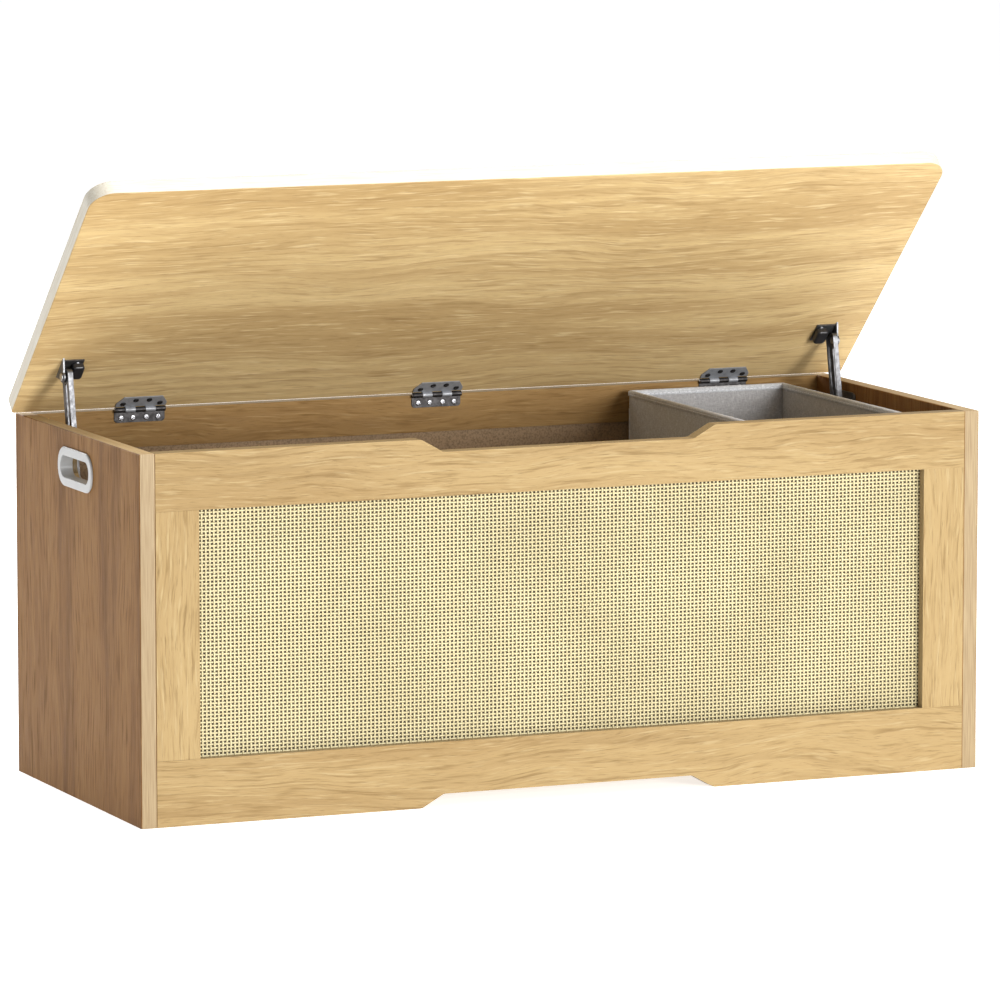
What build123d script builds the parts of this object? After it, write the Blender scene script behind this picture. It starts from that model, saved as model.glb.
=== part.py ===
from build123d import *
import os
from math import atan2, cos, hypot, radians, sin

os.makedirs("parts", exist_ok=True)

# Toy box: a board carcass with a cane front, a lid on three hinges, two slotted
# lid stays, two handle grommets and a loose grey bin. Millimetres, +Z up, the
# front faces -Y, and the origin is on the floor under the middle of the box.

# ---------------------------------------------------------------- driving dimensions
WIDTH = 1000.0  # outside of one side panel to the outside of the other
DEPTH = 400.0
HEIGHT = 405.0  # floor to the rim
BOARD = 18.0  # thickness of the carcass boards and of the lid
EDGE = 0.8  # broken edges of the boards
PAST = 1.0  # how far a cut runs past the faces that it opens
SHEET_PLAY = 0.5  # round a thin sheet in its rebate or groove

TOP_RAIL_H = 63.0
BOTTOM_RAIL_H = 72.0
STILE_W = 50.0
NOTCH_LONG = 350.0  # finger notch at the rail's edge
NOTCH_SHORT = 298.0  # finger notch at its deepest
NOTCH_DEEP = 14.5
NOTCH_ROUND = 9.0

REBATE_W = 10.0  # overlap of the cane panel behind the front frame
REBATE_D = 7.0
CANE_T = 1.5

BACK_TOP_H = 43.0
BACK_BOTTOM_H = 60.0
BACK_PANEL_T = 5.0
BACK_PANEL_SETBACK = 2.0  # from the inner face of the back rails
GROOVE_D = 6.0
GROOVE_PLAY = 0.2

FLOOR_T = 12.0
FLOOR_TOP = 58.0
CLEAT = 18.0
CLEAT_L = 340.0
CLEAT_SCREW_Y = (-135.0, 0.0, 135.0)
CLEAT_SCREW_BITE = 8.0  # into the side panel

LID_OPEN = 44.0  # degrees above closed
LID_SIDE_OVERHANG = 12.0
LID_FRONT_OVERHANG = 6.0
LID_CORNER_R = 26.0
LID_REAR_R = 4.0
LID_GAP = 3.0  # closed lid above the rim, as the hinges hold it

HINGE_X = {"left": -360.0, "middle": 0.0, "right": 360.0}
HINGE_W = 60.0
KNUCKLES = 5
KNUCKLE_R = 3.0
KNUCKLE_GAP = 0.3
KNUCKLE_CLEAR = 0.2  # between the knuckles and the back rail
PIN_R = 1.25
PIN_PLAY = 0.05
LEAF_T = 1.2
LEAF_CLEAR = 0.4  # between a leaf and the other leaf's knuckles
LID_LEAF_L = 20.0
LID_LEAF_STRAIGHT = 6.0  # length of its straight sides, before they taper
LID_LEAF_END_W = 46.0
BACK_LEAF_L = 14.5
BACK_LEAF_R = 4.0
LEAF_SCREW_X = (-22.0, -8.0, 8.0, 22.0)
LEAF_SCREW_LID = 8.5  # from the hinge line
LEAF_SCREW_LID_FAR = 14.5
LEAF_SCREW_BACK = 9.2
SCREW_R = 1.7
SCREW_HEAD_R = 3.2
SCREW_HEAD_T = 1.1
SCREW_L = 13.0
SCREW_END_PLAY = 0.5  # left under a screw's point

STAY_REACH = 80.0  # lid pivot from the hinge line, along the lid
STAY_DROP = 10.0  # lid pivot below the hinge line when closed
STAY_LEAD = 8.0  # degrees from lid pivot to guide pin when closed
STAY_MAX_OPEN = 85.0
STAY_PIN_R = 3.0
STAY_SLOT_PLAY = 0.3
STAY_W = 20.0
STAY_T = 1.5
STAY_FLANGE = 4.5
STAY_END_R = 5.0  # corners of the channel
STAY_WEB_X = 470.0  # inboard face of the web
STAY_TAIL = 8.0  # channel past the lid pivot
STAY_END = 12.0  # channel past the guide pin, lid fully open
RIVET_R = 2.5
RIVET_HEAD_R = 4.4
RIVET_HEAD_T = 1.6
RIVET_GAP = 0.2  # between its inboard head and the channel
EAR_T = 2.0
EAR_R = 6.5
EAR_GAP = 1.5
EAR_ROOT_W = 34.0
EAR_NECK = 1.0  # where the ear's taper ends, above its round end's middle
BRACKET_W = 28.0
BRACKET_SCREW = 7.0  # each way from the bracket's middle
CAP_IN_X = 449.0
CAP_W = 14.0
CAP_L = 22.0
CAP_H = 10.0
CAP_CORNER_R = 4.0
CAP_EDGE_R = 2.5
CAP_GAP = 0.2
GUIDE_PLATE_T = 2.0
GUIDE_PLATE_L = 46.0
GUIDE_PLATE_W = 22.0
GUIDE_SCREW_GAP = 32.0
GUIDE_PLATE_R = 6.0
GUIDE_HEAD_R = 5.0
GUIDE_HEAD_T = 2.0
GUIDE_HEAD_GAP = 0.6  # between the guide pin's head and the web

HANDLE_Z = 365.0
HANDLE_HOLE_L = 96.0
HANDLE_HOLE_H = 30.0
HANDLE_PLAY = 0.3
HANDLE_WALL = 2.5
HANDLE_SLEEVE = 12.0  # how far the grommet reaches into the board
HANDLE_RIM = 7.0  # rim past the hole, all round
HANDLE_RIM_T = 2.4
HANDLE_RIM_R = 1.6  # rounding of the rim's outer edge
HANDLE_FLAT = 0.5  # half the straight left in each rounded end
HANDLE_RING_T = 1.6

BIN_X0 = 235.0
BIN_W = 198.0
BIN_FRONT_Y = -172.0
BIN_L = 340.0
BIN_TOP = 400.0
BIN_T = 4.0
BIN_RIM_H = 6.0
BIN_CLEAR = 0.3

DOWEL_R = 4.0
DOWEL_IN_SIDE = 10.0
DOWEL_IN_RAIL = 22.0
DOWEL_STILE = 20.0  # each way from the seam between stile and rail
DOWEL_STILE_X = 448.0
DOWEL_END_PLAY = 1.0
FIT_PLAY = 0.1
CAM_R = 7.5
CAM_T = 12.5
CAM_BACK = 24.0  # cam centre from the end of its rail
CAM_BOLT_R = 3.0
CAM_BOLT_HEAD_R = 4.0
CAM_BOLT_GAP = 0.2
CAM_SLOT_L = 11.0
CAM_SLOT_W = 1.6
CAM_SLOT_D = 1.0

# ---------------------------------------------------------------- worked-out places
FRONT_Y = -DEPTH / 2
BACK_Y = DEPTH / 2
INNER_X = WIDTH / 2 - BOARD
INNER_FRONT_Y = FRONT_Y + BOARD
INNER_BACK_Y = BACK_Y - BOARD
OPEN_X = INNER_X - STILE_W  # half width of the cane opening
OPEN_TOP = HEIGHT - TOP_RAIL_H
AXIS_Y = INNER_BACK_Y - KNUCKLE_R - KNUCKLE_CLEAR
AXIS_Z = HEIGHT + LID_GAP - KNUCKLE_R
LID_L = AXIS_Y - FRONT_Y + LID_FRONT_OVERHANG
LID_W = WIDTH + 2 * LID_SIDE_OVERHANG
LEAN = radians(LID_OPEN)
STAY_R = hypot(STAY_REACH, STAY_DROP)
GUIDE_ANGLE = atan2(STAY_DROP, STAY_REACH) + radians(STAY_LEAD)
GUIDE_Y = AXIS_Y - STAY_R * cos(GUIDE_ANGLE)
GUIDE_Z = AXIS_Z - STAY_R * sin(GUIDE_ANGLE)
SLOT_NEAR = 2 * STAY_R * sin(radians(STAY_LEAD) / 2)
SLOT_FAR = 2 * STAY_R * sin(radians(STAY_LEAD + STAY_MAX_OPEN) / 2)
SIDES = {"left": -1, "right": 1}
# Heights of the cam bolt and of the dowel in each rail's end, and its middle line.
RAIL_JOINTS = {
    "front_top": (377.0, 361.0, INNER_FRONT_Y - BOARD / 2),
    "front_bottom": (24.0, 46.0, INNER_FRONT_Y - BOARD / 2),
    "back_top": (391.0, 375.0, INNER_BACK_Y + BOARD / 2),
    "back_bottom": (30.0, 46.0, INNER_BACK_Y + BOARD / 2),
}

# Planes. The lid plane has its origin on the hinge line: x along the box, y to the
# rear along the lid and z square to the lid's underside.
LID_PLANE = Plane(
    origin=(0, AXIS_Y, AXIS_Z), x_dir=(1, 0, 0), z_dir=(0, sin(LEAN), cos(LEAN))
)


def facing_x(x, y=0.0, z=0.0):
    """Plane square to X at x, with its own x along +Y and its own y along +Z."""
    return Plane(origin=(x, y, z), x_dir=(0, 1, 0), z_dir=(1, 0, 0))


def facing_y(y, x=0.0, z=0.0):
    """Plane square to Y at y, with its own x along +X and its own y along +Z."""
    return Plane(origin=(x, y, z), x_dir=(1, 0, 0), z_dir=(0, -1, 0))


def lid_side_plane(x):
    """Plane square to X at x, with its own x rearwards along the lid and y square to it."""
    return Plane(
        origin=(x, AXIS_Y, AXIS_Z), x_dir=(0, cos(LEAN), -sin(LEAN)), z_dir=(1, 0, 0)
    )


def save(piece, node):
    """Label a finished piece and write it as its node's file."""
    piece.part.label = node
    export_step(piece.part, f"parts/{node}.step")


def block(low, high, mode=Mode.ADD):
    """Box between two corners, in the builder that is open."""
    size = [h - l for l, h in zip(low, high)]
    middle = [(h + l) / 2 for l, h in zip(low, high)]
    with Locations(tuple(middle)):
        Box(*size, mode=mode)


def rod_x(x0, x1, y, z, radius, mode=Mode.ADD):
    """Round bar or hole along X."""
    with Locations(Location(((x0 + x1) / 2, y, z), (0, 90, 0))):
        Cylinder(radius, abs(x1 - x0), mode=mode)


def rod_y(y0, y1, x, z, radius, mode=Mode.ADD):
    """Round bar or hole along Y."""
    with Locations(Location((x, (y0 + y1) / 2, z), (90, 0, 0))):
        Cylinder(radius, abs(y1 - y0), mode=mode)


def rod_z(z0, z1, x, y, radius, mode=Mode.ADD):
    """Round bar or hole along Z."""
    with Locations((x, y, (z0 + z1) / 2)):
        Cylinder(radius, abs(z1 - z0), mode=mode)


# ---------------------------------------------------------------- side panels
def side_panel(name, sign):
    """Full-depth end board with its handle hole, back groove and fixing holes."""
    outer = sign * WIDTH / 2
    inner = sign * INNER_X
    with BuildPart() as panel:
        block((min(outer, inner), FRONT_Y, 0), (max(outer, inner), BACK_Y, HEIGHT))
        chamfer(panel.edges().filter_by(Axis.Z).group_by(Axis.Y)[0], EDGE)
        chamfer(panel.edges().filter_by(Axis.Y).group_by(Axis.Z)[-1], EDGE)
        with BuildSketch(facing_x(min(outer, inner), 0, HANDLE_Z)):
            RectangleRounded(HANDLE_HOLE_L, HANDLE_HOLE_H, HANDLE_HOLE_H / 2 - HANDLE_FLAT)
        extrude(amount=BOARD, mode=Mode.SUBTRACT)
        groove_y = INNER_BACK_Y + BACK_PANEL_SETBACK - GROOVE_PLAY / 2
        deep = sign * (INNER_X + GROOVE_D)
        block(
            (min(inner, deep), groove_y, BACK_BOTTOM_H - GROOVE_D),
            (max(inner, deep), groove_y + BACK_PANEL_T + GROOVE_PLAY, HEIGHT - BACK_TOP_H + GROOVE_D),
            mode=Mode.SUBTRACT,
        )
        for bolt_z, dowel_z, rail_y in RAIL_JOINTS.values():
            deep = sign * (INNER_X + DOWEL_IN_SIDE)
            rod_x(inner, deep, rail_y, bolt_z, CAM_BOLT_HEAD_R + FIT_PLAY, Mode.SUBTRACT)
            rod_x(inner, deep, rail_y, dowel_z, DOWEL_R + FIT_PLAY, Mode.SUBTRACT)
        for y in CLEAT_SCREW_Y:
            screw_end = sign * (INNER_X + CLEAT_SCREW_BITE)
            rod_x(inner, screw_end, y, FLOOR_TOP - FLOOR_T - CLEAT / 2, SCREW_R + FIT_PLAY, Mode.SUBTRACT)
        for offset in (-GUIDE_SCREW_GAP / 2, GUIDE_SCREW_GAP / 2):
            screw_end = sign * (INNER_X + SCREW_L - GUIDE_PLATE_T)
            rod_x(inner, screw_end, GUIDE_Y + offset, GUIDE_Z, SCREW_R + FIT_PLAY, Mode.SUBTRACT)
    save(panel, f"side_panel_{name}")


# ---------------------------------------------------------------- front frame
def notch_corners(z_edge, inward):
    """Corners of the shallow finger notch; inward is +1 from below or -1 from above."""
    deep = z_edge + inward * NOTCH_DEEP
    past = z_edge - inward * PAST
    return [
        (-NOTCH_LONG / 2, past),
        (-NOTCH_LONG / 2, z_edge),
        (-NOTCH_SHORT / 2, deep),
        (NOTCH_SHORT / 2, deep),
        (NOTCH_LONG / 2, z_edge),
        (NOTCH_LONG / 2, past),
    ]


def rail_end_holes(key, cam_from_y, cam_to_y):
    """Bores for a dowel, a cam bolt and a cam at both ends of a rail."""
    bolt_z, dowel_z, rail_y = RAIL_JOINTS[key]
    for sign in SIDES.values():
        end = sign * INNER_X
        rod_x(end, sign * (INNER_X - DOWEL_IN_RAIL), rail_y, dowel_z, DOWEL_R + FIT_PLAY, Mode.SUBTRACT)
        rod_x(end, sign * (INNER_X - CAM_BACK), rail_y, bolt_z, CAM_BOLT_R + FIT_PLAY, Mode.SUBTRACT)
        rod_y(cam_from_y, cam_to_y, sign * (INNER_X - CAM_BACK), bolt_z, CAM_R + FIT_PLAY, Mode.SUBTRACT)


def front_rail(key, node, z0, z1, z_edge, z_seam):
    """Front rail: z_edge is its notched free edge, z_seam the edge against the stiles."""
    inward = 1 if z_seam > z_edge else -1
    rebate_end = z_seam - inward * REBATE_W
    with BuildPart() as rail:
        block((-INNER_X, FRONT_Y, z0), (INNER_X, INNER_FRONT_Y, z1))
        with BuildSketch(facing_y(INNER_FRONT_Y)):
            with BuildLine():
                Polyline(*notch_corners(z_edge, inward), close=True)
            make_face()
        extrude(amount=BOARD, mode=Mode.SUBTRACT)
        deep = z_edge + inward * NOTCH_DEEP
        corners = [
            edge
            for edge in rail.edges().filter_by(Axis.Y)
            if abs(edge.center().Z - deep) < EDGE or abs(abs(edge.center().X) - NOTCH_LONG / 2) < EDGE
        ]
        fillet(corners, NOTCH_ROUND)
        block(
            (-OPEN_X - REBATE_W, INNER_FRONT_Y - REBATE_D, min(z_seam, rebate_end)),
            (OPEN_X + REBATE_W, INNER_FRONT_Y, max(z_seam, rebate_end)),
            mode=Mode.SUBTRACT,
        )
        rail_end_holes(key, INNER_FRONT_Y - CAM_T, INNER_FRONT_Y)
        for sign in SIDES.values():
            rod_z(
                z_seam,
                z_seam - inward * DOWEL_STILE,
                sign * DOWEL_STILE_X,
                INNER_FRONT_Y - BOARD / 2,
                DOWEL_R + FIT_PLAY,
                Mode.SUBTRACT,
            )
    save(rail, node)


def front_stile(name, sign):
    """Upright member of the front frame, rebated behind for the cane panel."""
    inner = sign * OPEN_X
    outer = sign * INNER_X
    rebate = sign * (OPEN_X + REBATE_W)
    with BuildPart() as stile:
        block((min(inner, outer), FRONT_Y, BOTTOM_RAIL_H), (max(inner, outer), INNER_FRONT_Y, OPEN_TOP))
        block(
            (min(inner, rebate), INNER_FRONT_Y - REBATE_D, BOTTOM_RAIL_H),
            (max(inner, rebate), INNER_FRONT_Y, OPEN_TOP),
            mode=Mode.SUBTRACT,
        )
        dowel_y = INNER_FRONT_Y - BOARD / 2
        for seam_z, depth in ((BOTTOM_RAIL_H, DOWEL_STILE), (OPEN_TOP, -DOWEL_STILE)):
            rod_z(seam_z, seam_z + depth, sign * DOWEL_STILE_X, dowel_y, DOWEL_R + FIT_PLAY, Mode.SUBTRACT)
    save(stile, f"front_stile_{name}")


def cane_and_backing():
    """Woven cane sheet and the thin board behind it, both held in the frame's rebate."""
    half = OPEN_X + REBATE_W - SHEET_PLAY
    z0 = BOTTOM_RAIL_H - REBATE_W + SHEET_PLAY
    z1 = OPEN_TOP + REBATE_W - SHEET_PLAY
    face = INNER_FRONT_Y - REBATE_D
    with BuildPart() as cane_panel:
        block((-half, face, z0), (half, face + CANE_T, z1))
    save(cane_panel, "cane_panel")
    with BuildPart() as cane_backing_board:
        block((-half, face + CANE_T, z0), (half, INNER_FRONT_Y, z1))
    save(cane_backing_board, "cane_backing_board")


# ---------------------------------------------------------------- back and bottom
def back_rail(key, node, z0, z1, groove_z0, groove_z1, hinged):
    """Rail across the back, grooved for the back panel; the top one carries the hinges."""
    groove_y = INNER_BACK_Y + BACK_PANEL_SETBACK - GROOVE_PLAY / 2
    with BuildPart() as rail:
        block((-INNER_X, INNER_BACK_Y, z0), (INNER_X, BACK_Y, z1))
        block(
            (-INNER_X, groove_y, groove_z0),
            (INNER_X, groove_y + BACK_PANEL_T + GROOVE_PLAY, groove_z1),
            mode=Mode.SUBTRACT,
        )
        rail_end_holes(key, BACK_Y - CAM_T, BACK_Y)
        if hinged:
            for hinge_x in HINGE_X.values():
                for offset in LEAF_SCREW_X:
                    rod_y(
                        INNER_BACK_Y,
                        INNER_BACK_Y + SCREW_L - LEAF_T,
                        hinge_x + offset,
                        AXIS_Z - LEAF_SCREW_BACK,
                        SCREW_R + FIT_PLAY,
                        Mode.SUBTRACT,
                    )
    save(rail, node)


def back_panel():
    """Thin panel held in the grooves of the back rails and side panels."""
    y = INNER_BACK_Y + BACK_PANEL_SETBACK
    half = INNER_X + GROOVE_D - SHEET_PLAY
    with BuildPart() as panel:
        block(
            (-half, y, BACK_BOTTOM_H - GROOVE_D + SHEET_PLAY),
            (half, y + BACK_PANEL_T, HEIGHT - BACK_TOP_H + GROOVE_D - SHEET_PLAY),
        )
    save(panel, "back_panel")


def bottom():
    """Floor board and the two battens that carry it."""
    with BuildPart() as bottom_panel:
        block((-INNER_X, INNER_FRONT_Y, FLOOR_TOP - FLOOR_T), (INNER_X, INNER_BACK_Y, FLOOR_TOP))
    save(bottom_panel, "bottom_panel")
    top = FLOOR_TOP - FLOOR_T
    for name, sign in SIDES.items():
        outer = sign * INNER_X
        inner = sign * (INNER_X - CLEAT)
        with BuildPart() as cleat:
            block((min(outer, inner), -CLEAT_L / 2, top - CLEAT), (max(outer, inner), CLEAT_L / 2, top))
            chamfer(cleat.edges().filter_by(Axis.Y).group_by(Axis.Z)[0], EDGE)
            for y in CLEAT_SCREW_Y:
                rod_x(inner, outer, y, top - CLEAT / 2, SCREW_R + FIT_PLAY, Mode.SUBTRACT)
        save(cleat, f"bottom_cleat_{name}")
    with BuildPart() as cleat_screws:
        for sign in SIDES.values():
            inner = sign * (INNER_X - CLEAT)
            for y in CLEAT_SCREW_Y:
                rod_x(inner, sign * (INNER_X + CLEAT_SCREW_BITE), y, top - CLEAT / 2, SCREW_R)
                rod_x(inner - sign * SCREW_HEAD_T, inner, y, top - CLEAT / 2, SCREW_HEAD_R)
    save(cleat_screws, "cleat_screws")


# ---------------------------------------------------------------- hidden joinery
def joinery():
    """Dowels, cam bolts and cams that hold the carcass together."""
    with BuildPart() as wood_dowels:
        for sign in SIDES.values():
            for _, dowel_z, rail_y in RAIL_JOINTS.values():
                rod_x(
                    sign * (INNER_X - DOWEL_IN_RAIL + DOWEL_END_PLAY),
                    sign * (INNER_X + DOWEL_IN_SIDE - DOWEL_END_PLAY),
                    rail_y,
                    dowel_z,
                    DOWEL_R,
                )
            for seam_z in (BOTTOM_RAIL_H, OPEN_TOP):
                rod_z(
                    seam_z - DOWEL_STILE + DOWEL_END_PLAY,
                    seam_z + DOWEL_STILE - DOWEL_END_PLAY,
                    sign * DOWEL_STILE_X,
                    INNER_FRONT_Y - BOARD / 2,
                    DOWEL_R,
                )
    save(wood_dowels, "wood_dowels")
    with BuildPart() as cam_bolts:
        for sign in SIDES.values():
            for bolt_z, _, rail_y in RAIL_JOINTS.values():
                end = sign * INNER_X
                tip = sign * (INNER_X - CAM_BACK + CAM_R + CAM_BOLT_GAP)
                thread_end = sign * (INNER_X + DOWEL_IN_SIDE - DOWEL_END_PLAY)
                rod_x(tip, end, rail_y, bolt_z, CAM_BOLT_R)
                rod_x(end, thread_end, rail_y, bolt_z, CAM_BOLT_HEAD_R)
    save(cam_bolts, "cam_bolts")
    with BuildPart() as cam_locks:
        for sign in SIDES.values():
            for bolt_z, _, rail_y in RAIL_JOINTS.values():
                x = sign * (INNER_X - CAM_BACK)
                cam_face = INNER_FRONT_Y if rail_y < 0 else BACK_Y
                rod_y(cam_face, cam_face - CAM_T, x, bolt_z, CAM_R)
                slot_y = cam_face - CAM_SLOT_D
                block(
                    (x - CAM_SLOT_L / 2, slot_y, bolt_z - CAM_SLOT_W / 2),
                    (x + CAM_SLOT_L / 2, cam_face, bolt_z + CAM_SLOT_W / 2),
                    mode=Mode.SUBTRACT,
                )
    save(cam_locks, "cam_locks")


# ---------------------------------------------------------------- handles
def handle(name, sign):
    """Plastic grommet pressed into the side panel, and the cover ring round the hole inside."""
    length = HANDLE_HOLE_L - 2 * HANDLE_PLAY
    height = HANDLE_HOLE_H - 2 * HANDLE_PLAY
    rim_corner = height / 2 + HANDLE_RIM - HANDLE_FLAT
    outer = sign * WIDTH / 2
    inner = sign * INNER_X
    proud = outer + sign * HANDLE_RIM_T
    sleeve_end = outer - sign * HANDLE_SLEEVE
    with BuildPart() as handle_grommet:
        with BuildSketch(facing_x(min(proud, outer), 0, HANDLE_Z)):
            RectangleRounded(length + 2 * HANDLE_RIM, height + 2 * HANDLE_RIM, rim_corner)
        extrude(amount=HANDLE_RIM_T)
        far = handle_grommet.faces().sort_by(Axis.X)[0 if sign < 0 else -1]
        fillet(far.edges(), HANDLE_RIM_R)
        with BuildSketch(facing_x(min(outer, sleeve_end), 0, HANDLE_Z)):
            RectangleRounded(length, height, height / 2 - HANDLE_FLAT)
        extrude(amount=HANDLE_SLEEVE)
        inside_l = length - 2 * HANDLE_WALL
        inside_h = height - 2 * HANDLE_WALL
        with BuildSketch(facing_x(min(proud, inner) - PAST, 0, HANDLE_Z)):
            RectangleRounded(inside_l, inside_h, inside_h / 2 - HANDLE_FLAT)
        extrude(amount=BOARD + HANDLE_RIM_T + 2 * PAST, mode=Mode.SUBTRACT)
    save(handle_grommet, f"handle_grommet_{name}")
    ring_face = inner - sign * HANDLE_RING_T
    with BuildPart() as handle_ring:
        with BuildSketch(facing_x(min(ring_face, inner), 0, HANDLE_Z)):
            RectangleRounded(length + 2 * HANDLE_RIM, height + 2 * HANDLE_RIM, rim_corner)
            RectangleRounded(
                HANDLE_HOLE_L, HANDLE_HOLE_H, HANDLE_HOLE_H / 2 - HANDLE_FLAT, mode=Mode.SUBTRACT
            )
        extrude(amount=HANDLE_RING_T)
    save(handle_ring, f"handle_inner_ring_{name}")


# ---------------------------------------------------------------- lid
def lid_panel():
    """Lid board with rounded front corners and pilot holes on its underside."""
    with BuildPart() as lid:
        with BuildSketch(LID_PLANE.offset(KNUCKLE_R)) as outline:
            with Locations((0, -LID_L / 2)):
                Rectangle(LID_W, LID_L)
            fillet(outline.vertices().group_by(Axis.Y)[0], LID_CORNER_R)
            fillet(outline.vertices().group_by(Axis.Y)[-1], LID_REAR_R)
        extrude(amount=BOARD)
        top = lid.faces().filter_by(Plane(LID_PLANE.location)).sort_by(Axis.Z)[-1]
        under = lid.faces().filter_by(Plane(LID_PLANE.location)).sort_by(Axis.Z)[0]
        chamfer(top.edges() + under.edges(), EDGE)
        with BuildSketch(LID_PLANE.offset(KNUCKLE_R)):
            for hinge_x in HINGE_X.values():
                with Locations(*lid_screw_places(hinge_x)):
                    Circle(SCREW_R + FIT_PLAY)
            for sign in SIDES.values():
                with Locations(*bracket_screw_places(sign)):
                    Circle(SCREW_R + FIT_PLAY)
        extrude(amount=SCREW_L - LEAF_T, mode=Mode.SUBTRACT)
    save(lid, "lid_panel")


def lid_screw_places(hinge_x):
    """Screws of one lid leaf, in the lid plane: two near and two far from the pin."""
    near = [(hinge_x + x, -LEAF_SCREW_LID) for x in (LEAF_SCREW_X[0], LEAF_SCREW_X[-1])]
    far = [(hinge_x + x, -LEAF_SCREW_LID_FAR) for x in LEAF_SCREW_X[1:-1]]
    return near + far


def bracket_screw_places(sign):
    """Screws of one stay bracket, in the lid plane."""
    x = sign * (CAP_IN_X + CAP_W / 2)
    return [(x, -STAY_REACH - BRACKET_SCREW), (x, -STAY_REACH + BRACKET_SCREW)]


# ---------------------------------------------------------------- hinges
def knuckle_spans(hinge_x, first):
    """Start and end of every other knuckle, from number first."""
    pitch = HINGE_W / KNUCKLES
    start = hinge_x - HINGE_W / 2
    return [
        (start + n * pitch + KNUCKLE_GAP / 2, start + (n + 1) * pitch - KNUCKLE_GAP / 2)
        for n in range(first, KNUCKLES, 2)
    ]


def hinge(name, hinge_x):
    """Butt hinge: a leaf under the lid, a leaf on the back rail and their pin."""
    clear = KNUCKLE_R + LEAF_CLEAR
    with BuildPart() as lid_leaf:
        with BuildSketch(LID_PLANE.offset(KNUCKLE_R - LEAF_T)):
            with BuildLine():
                Polyline(
                    (hinge_x - HINGE_W / 2, -clear),
                    (hinge_x - HINGE_W / 2, -clear - LID_LEAF_STRAIGHT),
                    (hinge_x - LID_LEAF_END_W / 2, -LID_LEAF_L),
                    (hinge_x + LID_LEAF_END_W / 2, -LID_LEAF_L),
                    (hinge_x + HINGE_W / 2, -clear - LID_LEAF_STRAIGHT),
                    (hinge_x + HINGE_W / 2, -clear),
                    close=True,
                )
            make_face()
            for x0, x1 in knuckle_spans(hinge_x, 1):
                with Locations(((x0 + x1) / 2, -clear / 2)):
                    Rectangle(x1 - x0, clear)
        extrude(amount=LEAF_T)
        for x0, x1 in knuckle_spans(hinge_x, 1):
            rod_x(x0, x1, AXIS_Y, AXIS_Z, KNUCKLE_R)
        rod_x(hinge_x - HINGE_W, hinge_x + HINGE_W, AXIS_Y, AXIS_Z, PIN_R + PIN_PLAY, Mode.SUBTRACT)
        with BuildSketch(LID_PLANE):
            with Locations(*lid_screw_places(hinge_x)):
                Circle(SCREW_R + FIT_PLAY)
        extrude(amount=2 * KNUCKLE_R, mode=Mode.SUBTRACT)
    save(lid_leaf, f"hinge_lid_leaf_{name}")

    with BuildPart() as back_leaf:
        with BuildSketch(facing_y(INNER_BACK_Y, hinge_x, AXIS_Z)) as plate:
            with Locations((0, -(clear + BACK_LEAF_L) / 2)):
                Rectangle(HINGE_W, BACK_LEAF_L - clear)
            fillet(plate.vertices().group_by(Axis.Y)[0], BACK_LEAF_R)
            for x0, x1 in knuckle_spans(0, 0):
                with Locations(((x0 + x1) / 2, -clear / 2)):
                    Rectangle(x1 - x0, clear)
        extrude(amount=LEAF_T)
        for x0, x1 in knuckle_spans(hinge_x, 0):
            rod_x(x0, x1, AXIS_Y, AXIS_Z, KNUCKLE_R)
        rod_x(hinge_x - HINGE_W, hinge_x + HINGE_W, AXIS_Y, AXIS_Z, PIN_R, Mode.SUBTRACT)
        for offset in LEAF_SCREW_X:
            rod_y(
                INNER_BACK_Y - LEAF_T,
                INNER_BACK_Y,
                hinge_x + offset,
                AXIS_Z - LEAF_SCREW_BACK,
                SCREW_R + FIT_PLAY,
                Mode.SUBTRACT,
            )
    save(back_leaf, f"hinge_back_leaf_{name}")

    with BuildPart() as hinge_pin:
        rod_x(hinge_x - HINGE_W / 2, hinge_x + HINGE_W / 2, AXIS_Y, AXIS_Z, PIN_R)
    save(hinge_pin, f"hinge_pin_{name}")


def hinge_screws():
    """All screws of the hinges, on the lid and on the back rail."""
    with BuildPart() as hinge_lid_screws:
        places = [spot for x in HINGE_X.values() for spot in lid_screw_places(x)]
        with BuildSketch(LID_PLANE.offset(KNUCKLE_R - LEAF_T)):
            with Locations(*places):
                Circle(SCREW_R)
        extrude(amount=SCREW_L)
        with BuildSketch(LID_PLANE.offset(KNUCKLE_R - LEAF_T)):
            with Locations(*places):
                Circle(SCREW_HEAD_R)
        extrude(amount=-SCREW_HEAD_T)
    save(hinge_lid_screws, "hinge_lid_screws")
    with BuildPart() as hinge_back_screws:
        for hinge_x in HINGE_X.values():
            for offset in LEAF_SCREW_X:
                x = hinge_x + offset
                z = AXIS_Z - LEAF_SCREW_BACK
                plate_y = INNER_BACK_Y - LEAF_T
                rod_y(plate_y, plate_y + SCREW_L - SCREW_END_PLAY, x, z, SCREW_R)
                rod_y(plate_y - SCREW_HEAD_T, plate_y, x, z, SCREW_HEAD_R)
    save(hinge_back_screws, "hinge_back_screws")


# ---------------------------------------------------------------- lid stays
def lid_point(along, square):
    """Y and Z of a point given by its place along the lid and square to it."""
    return (
        AXIS_Y + along * cos(LEAN) + square * sin(LEAN),
        AXIS_Z - along * sin(LEAN) + square * cos(LEAN),
    )


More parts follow.
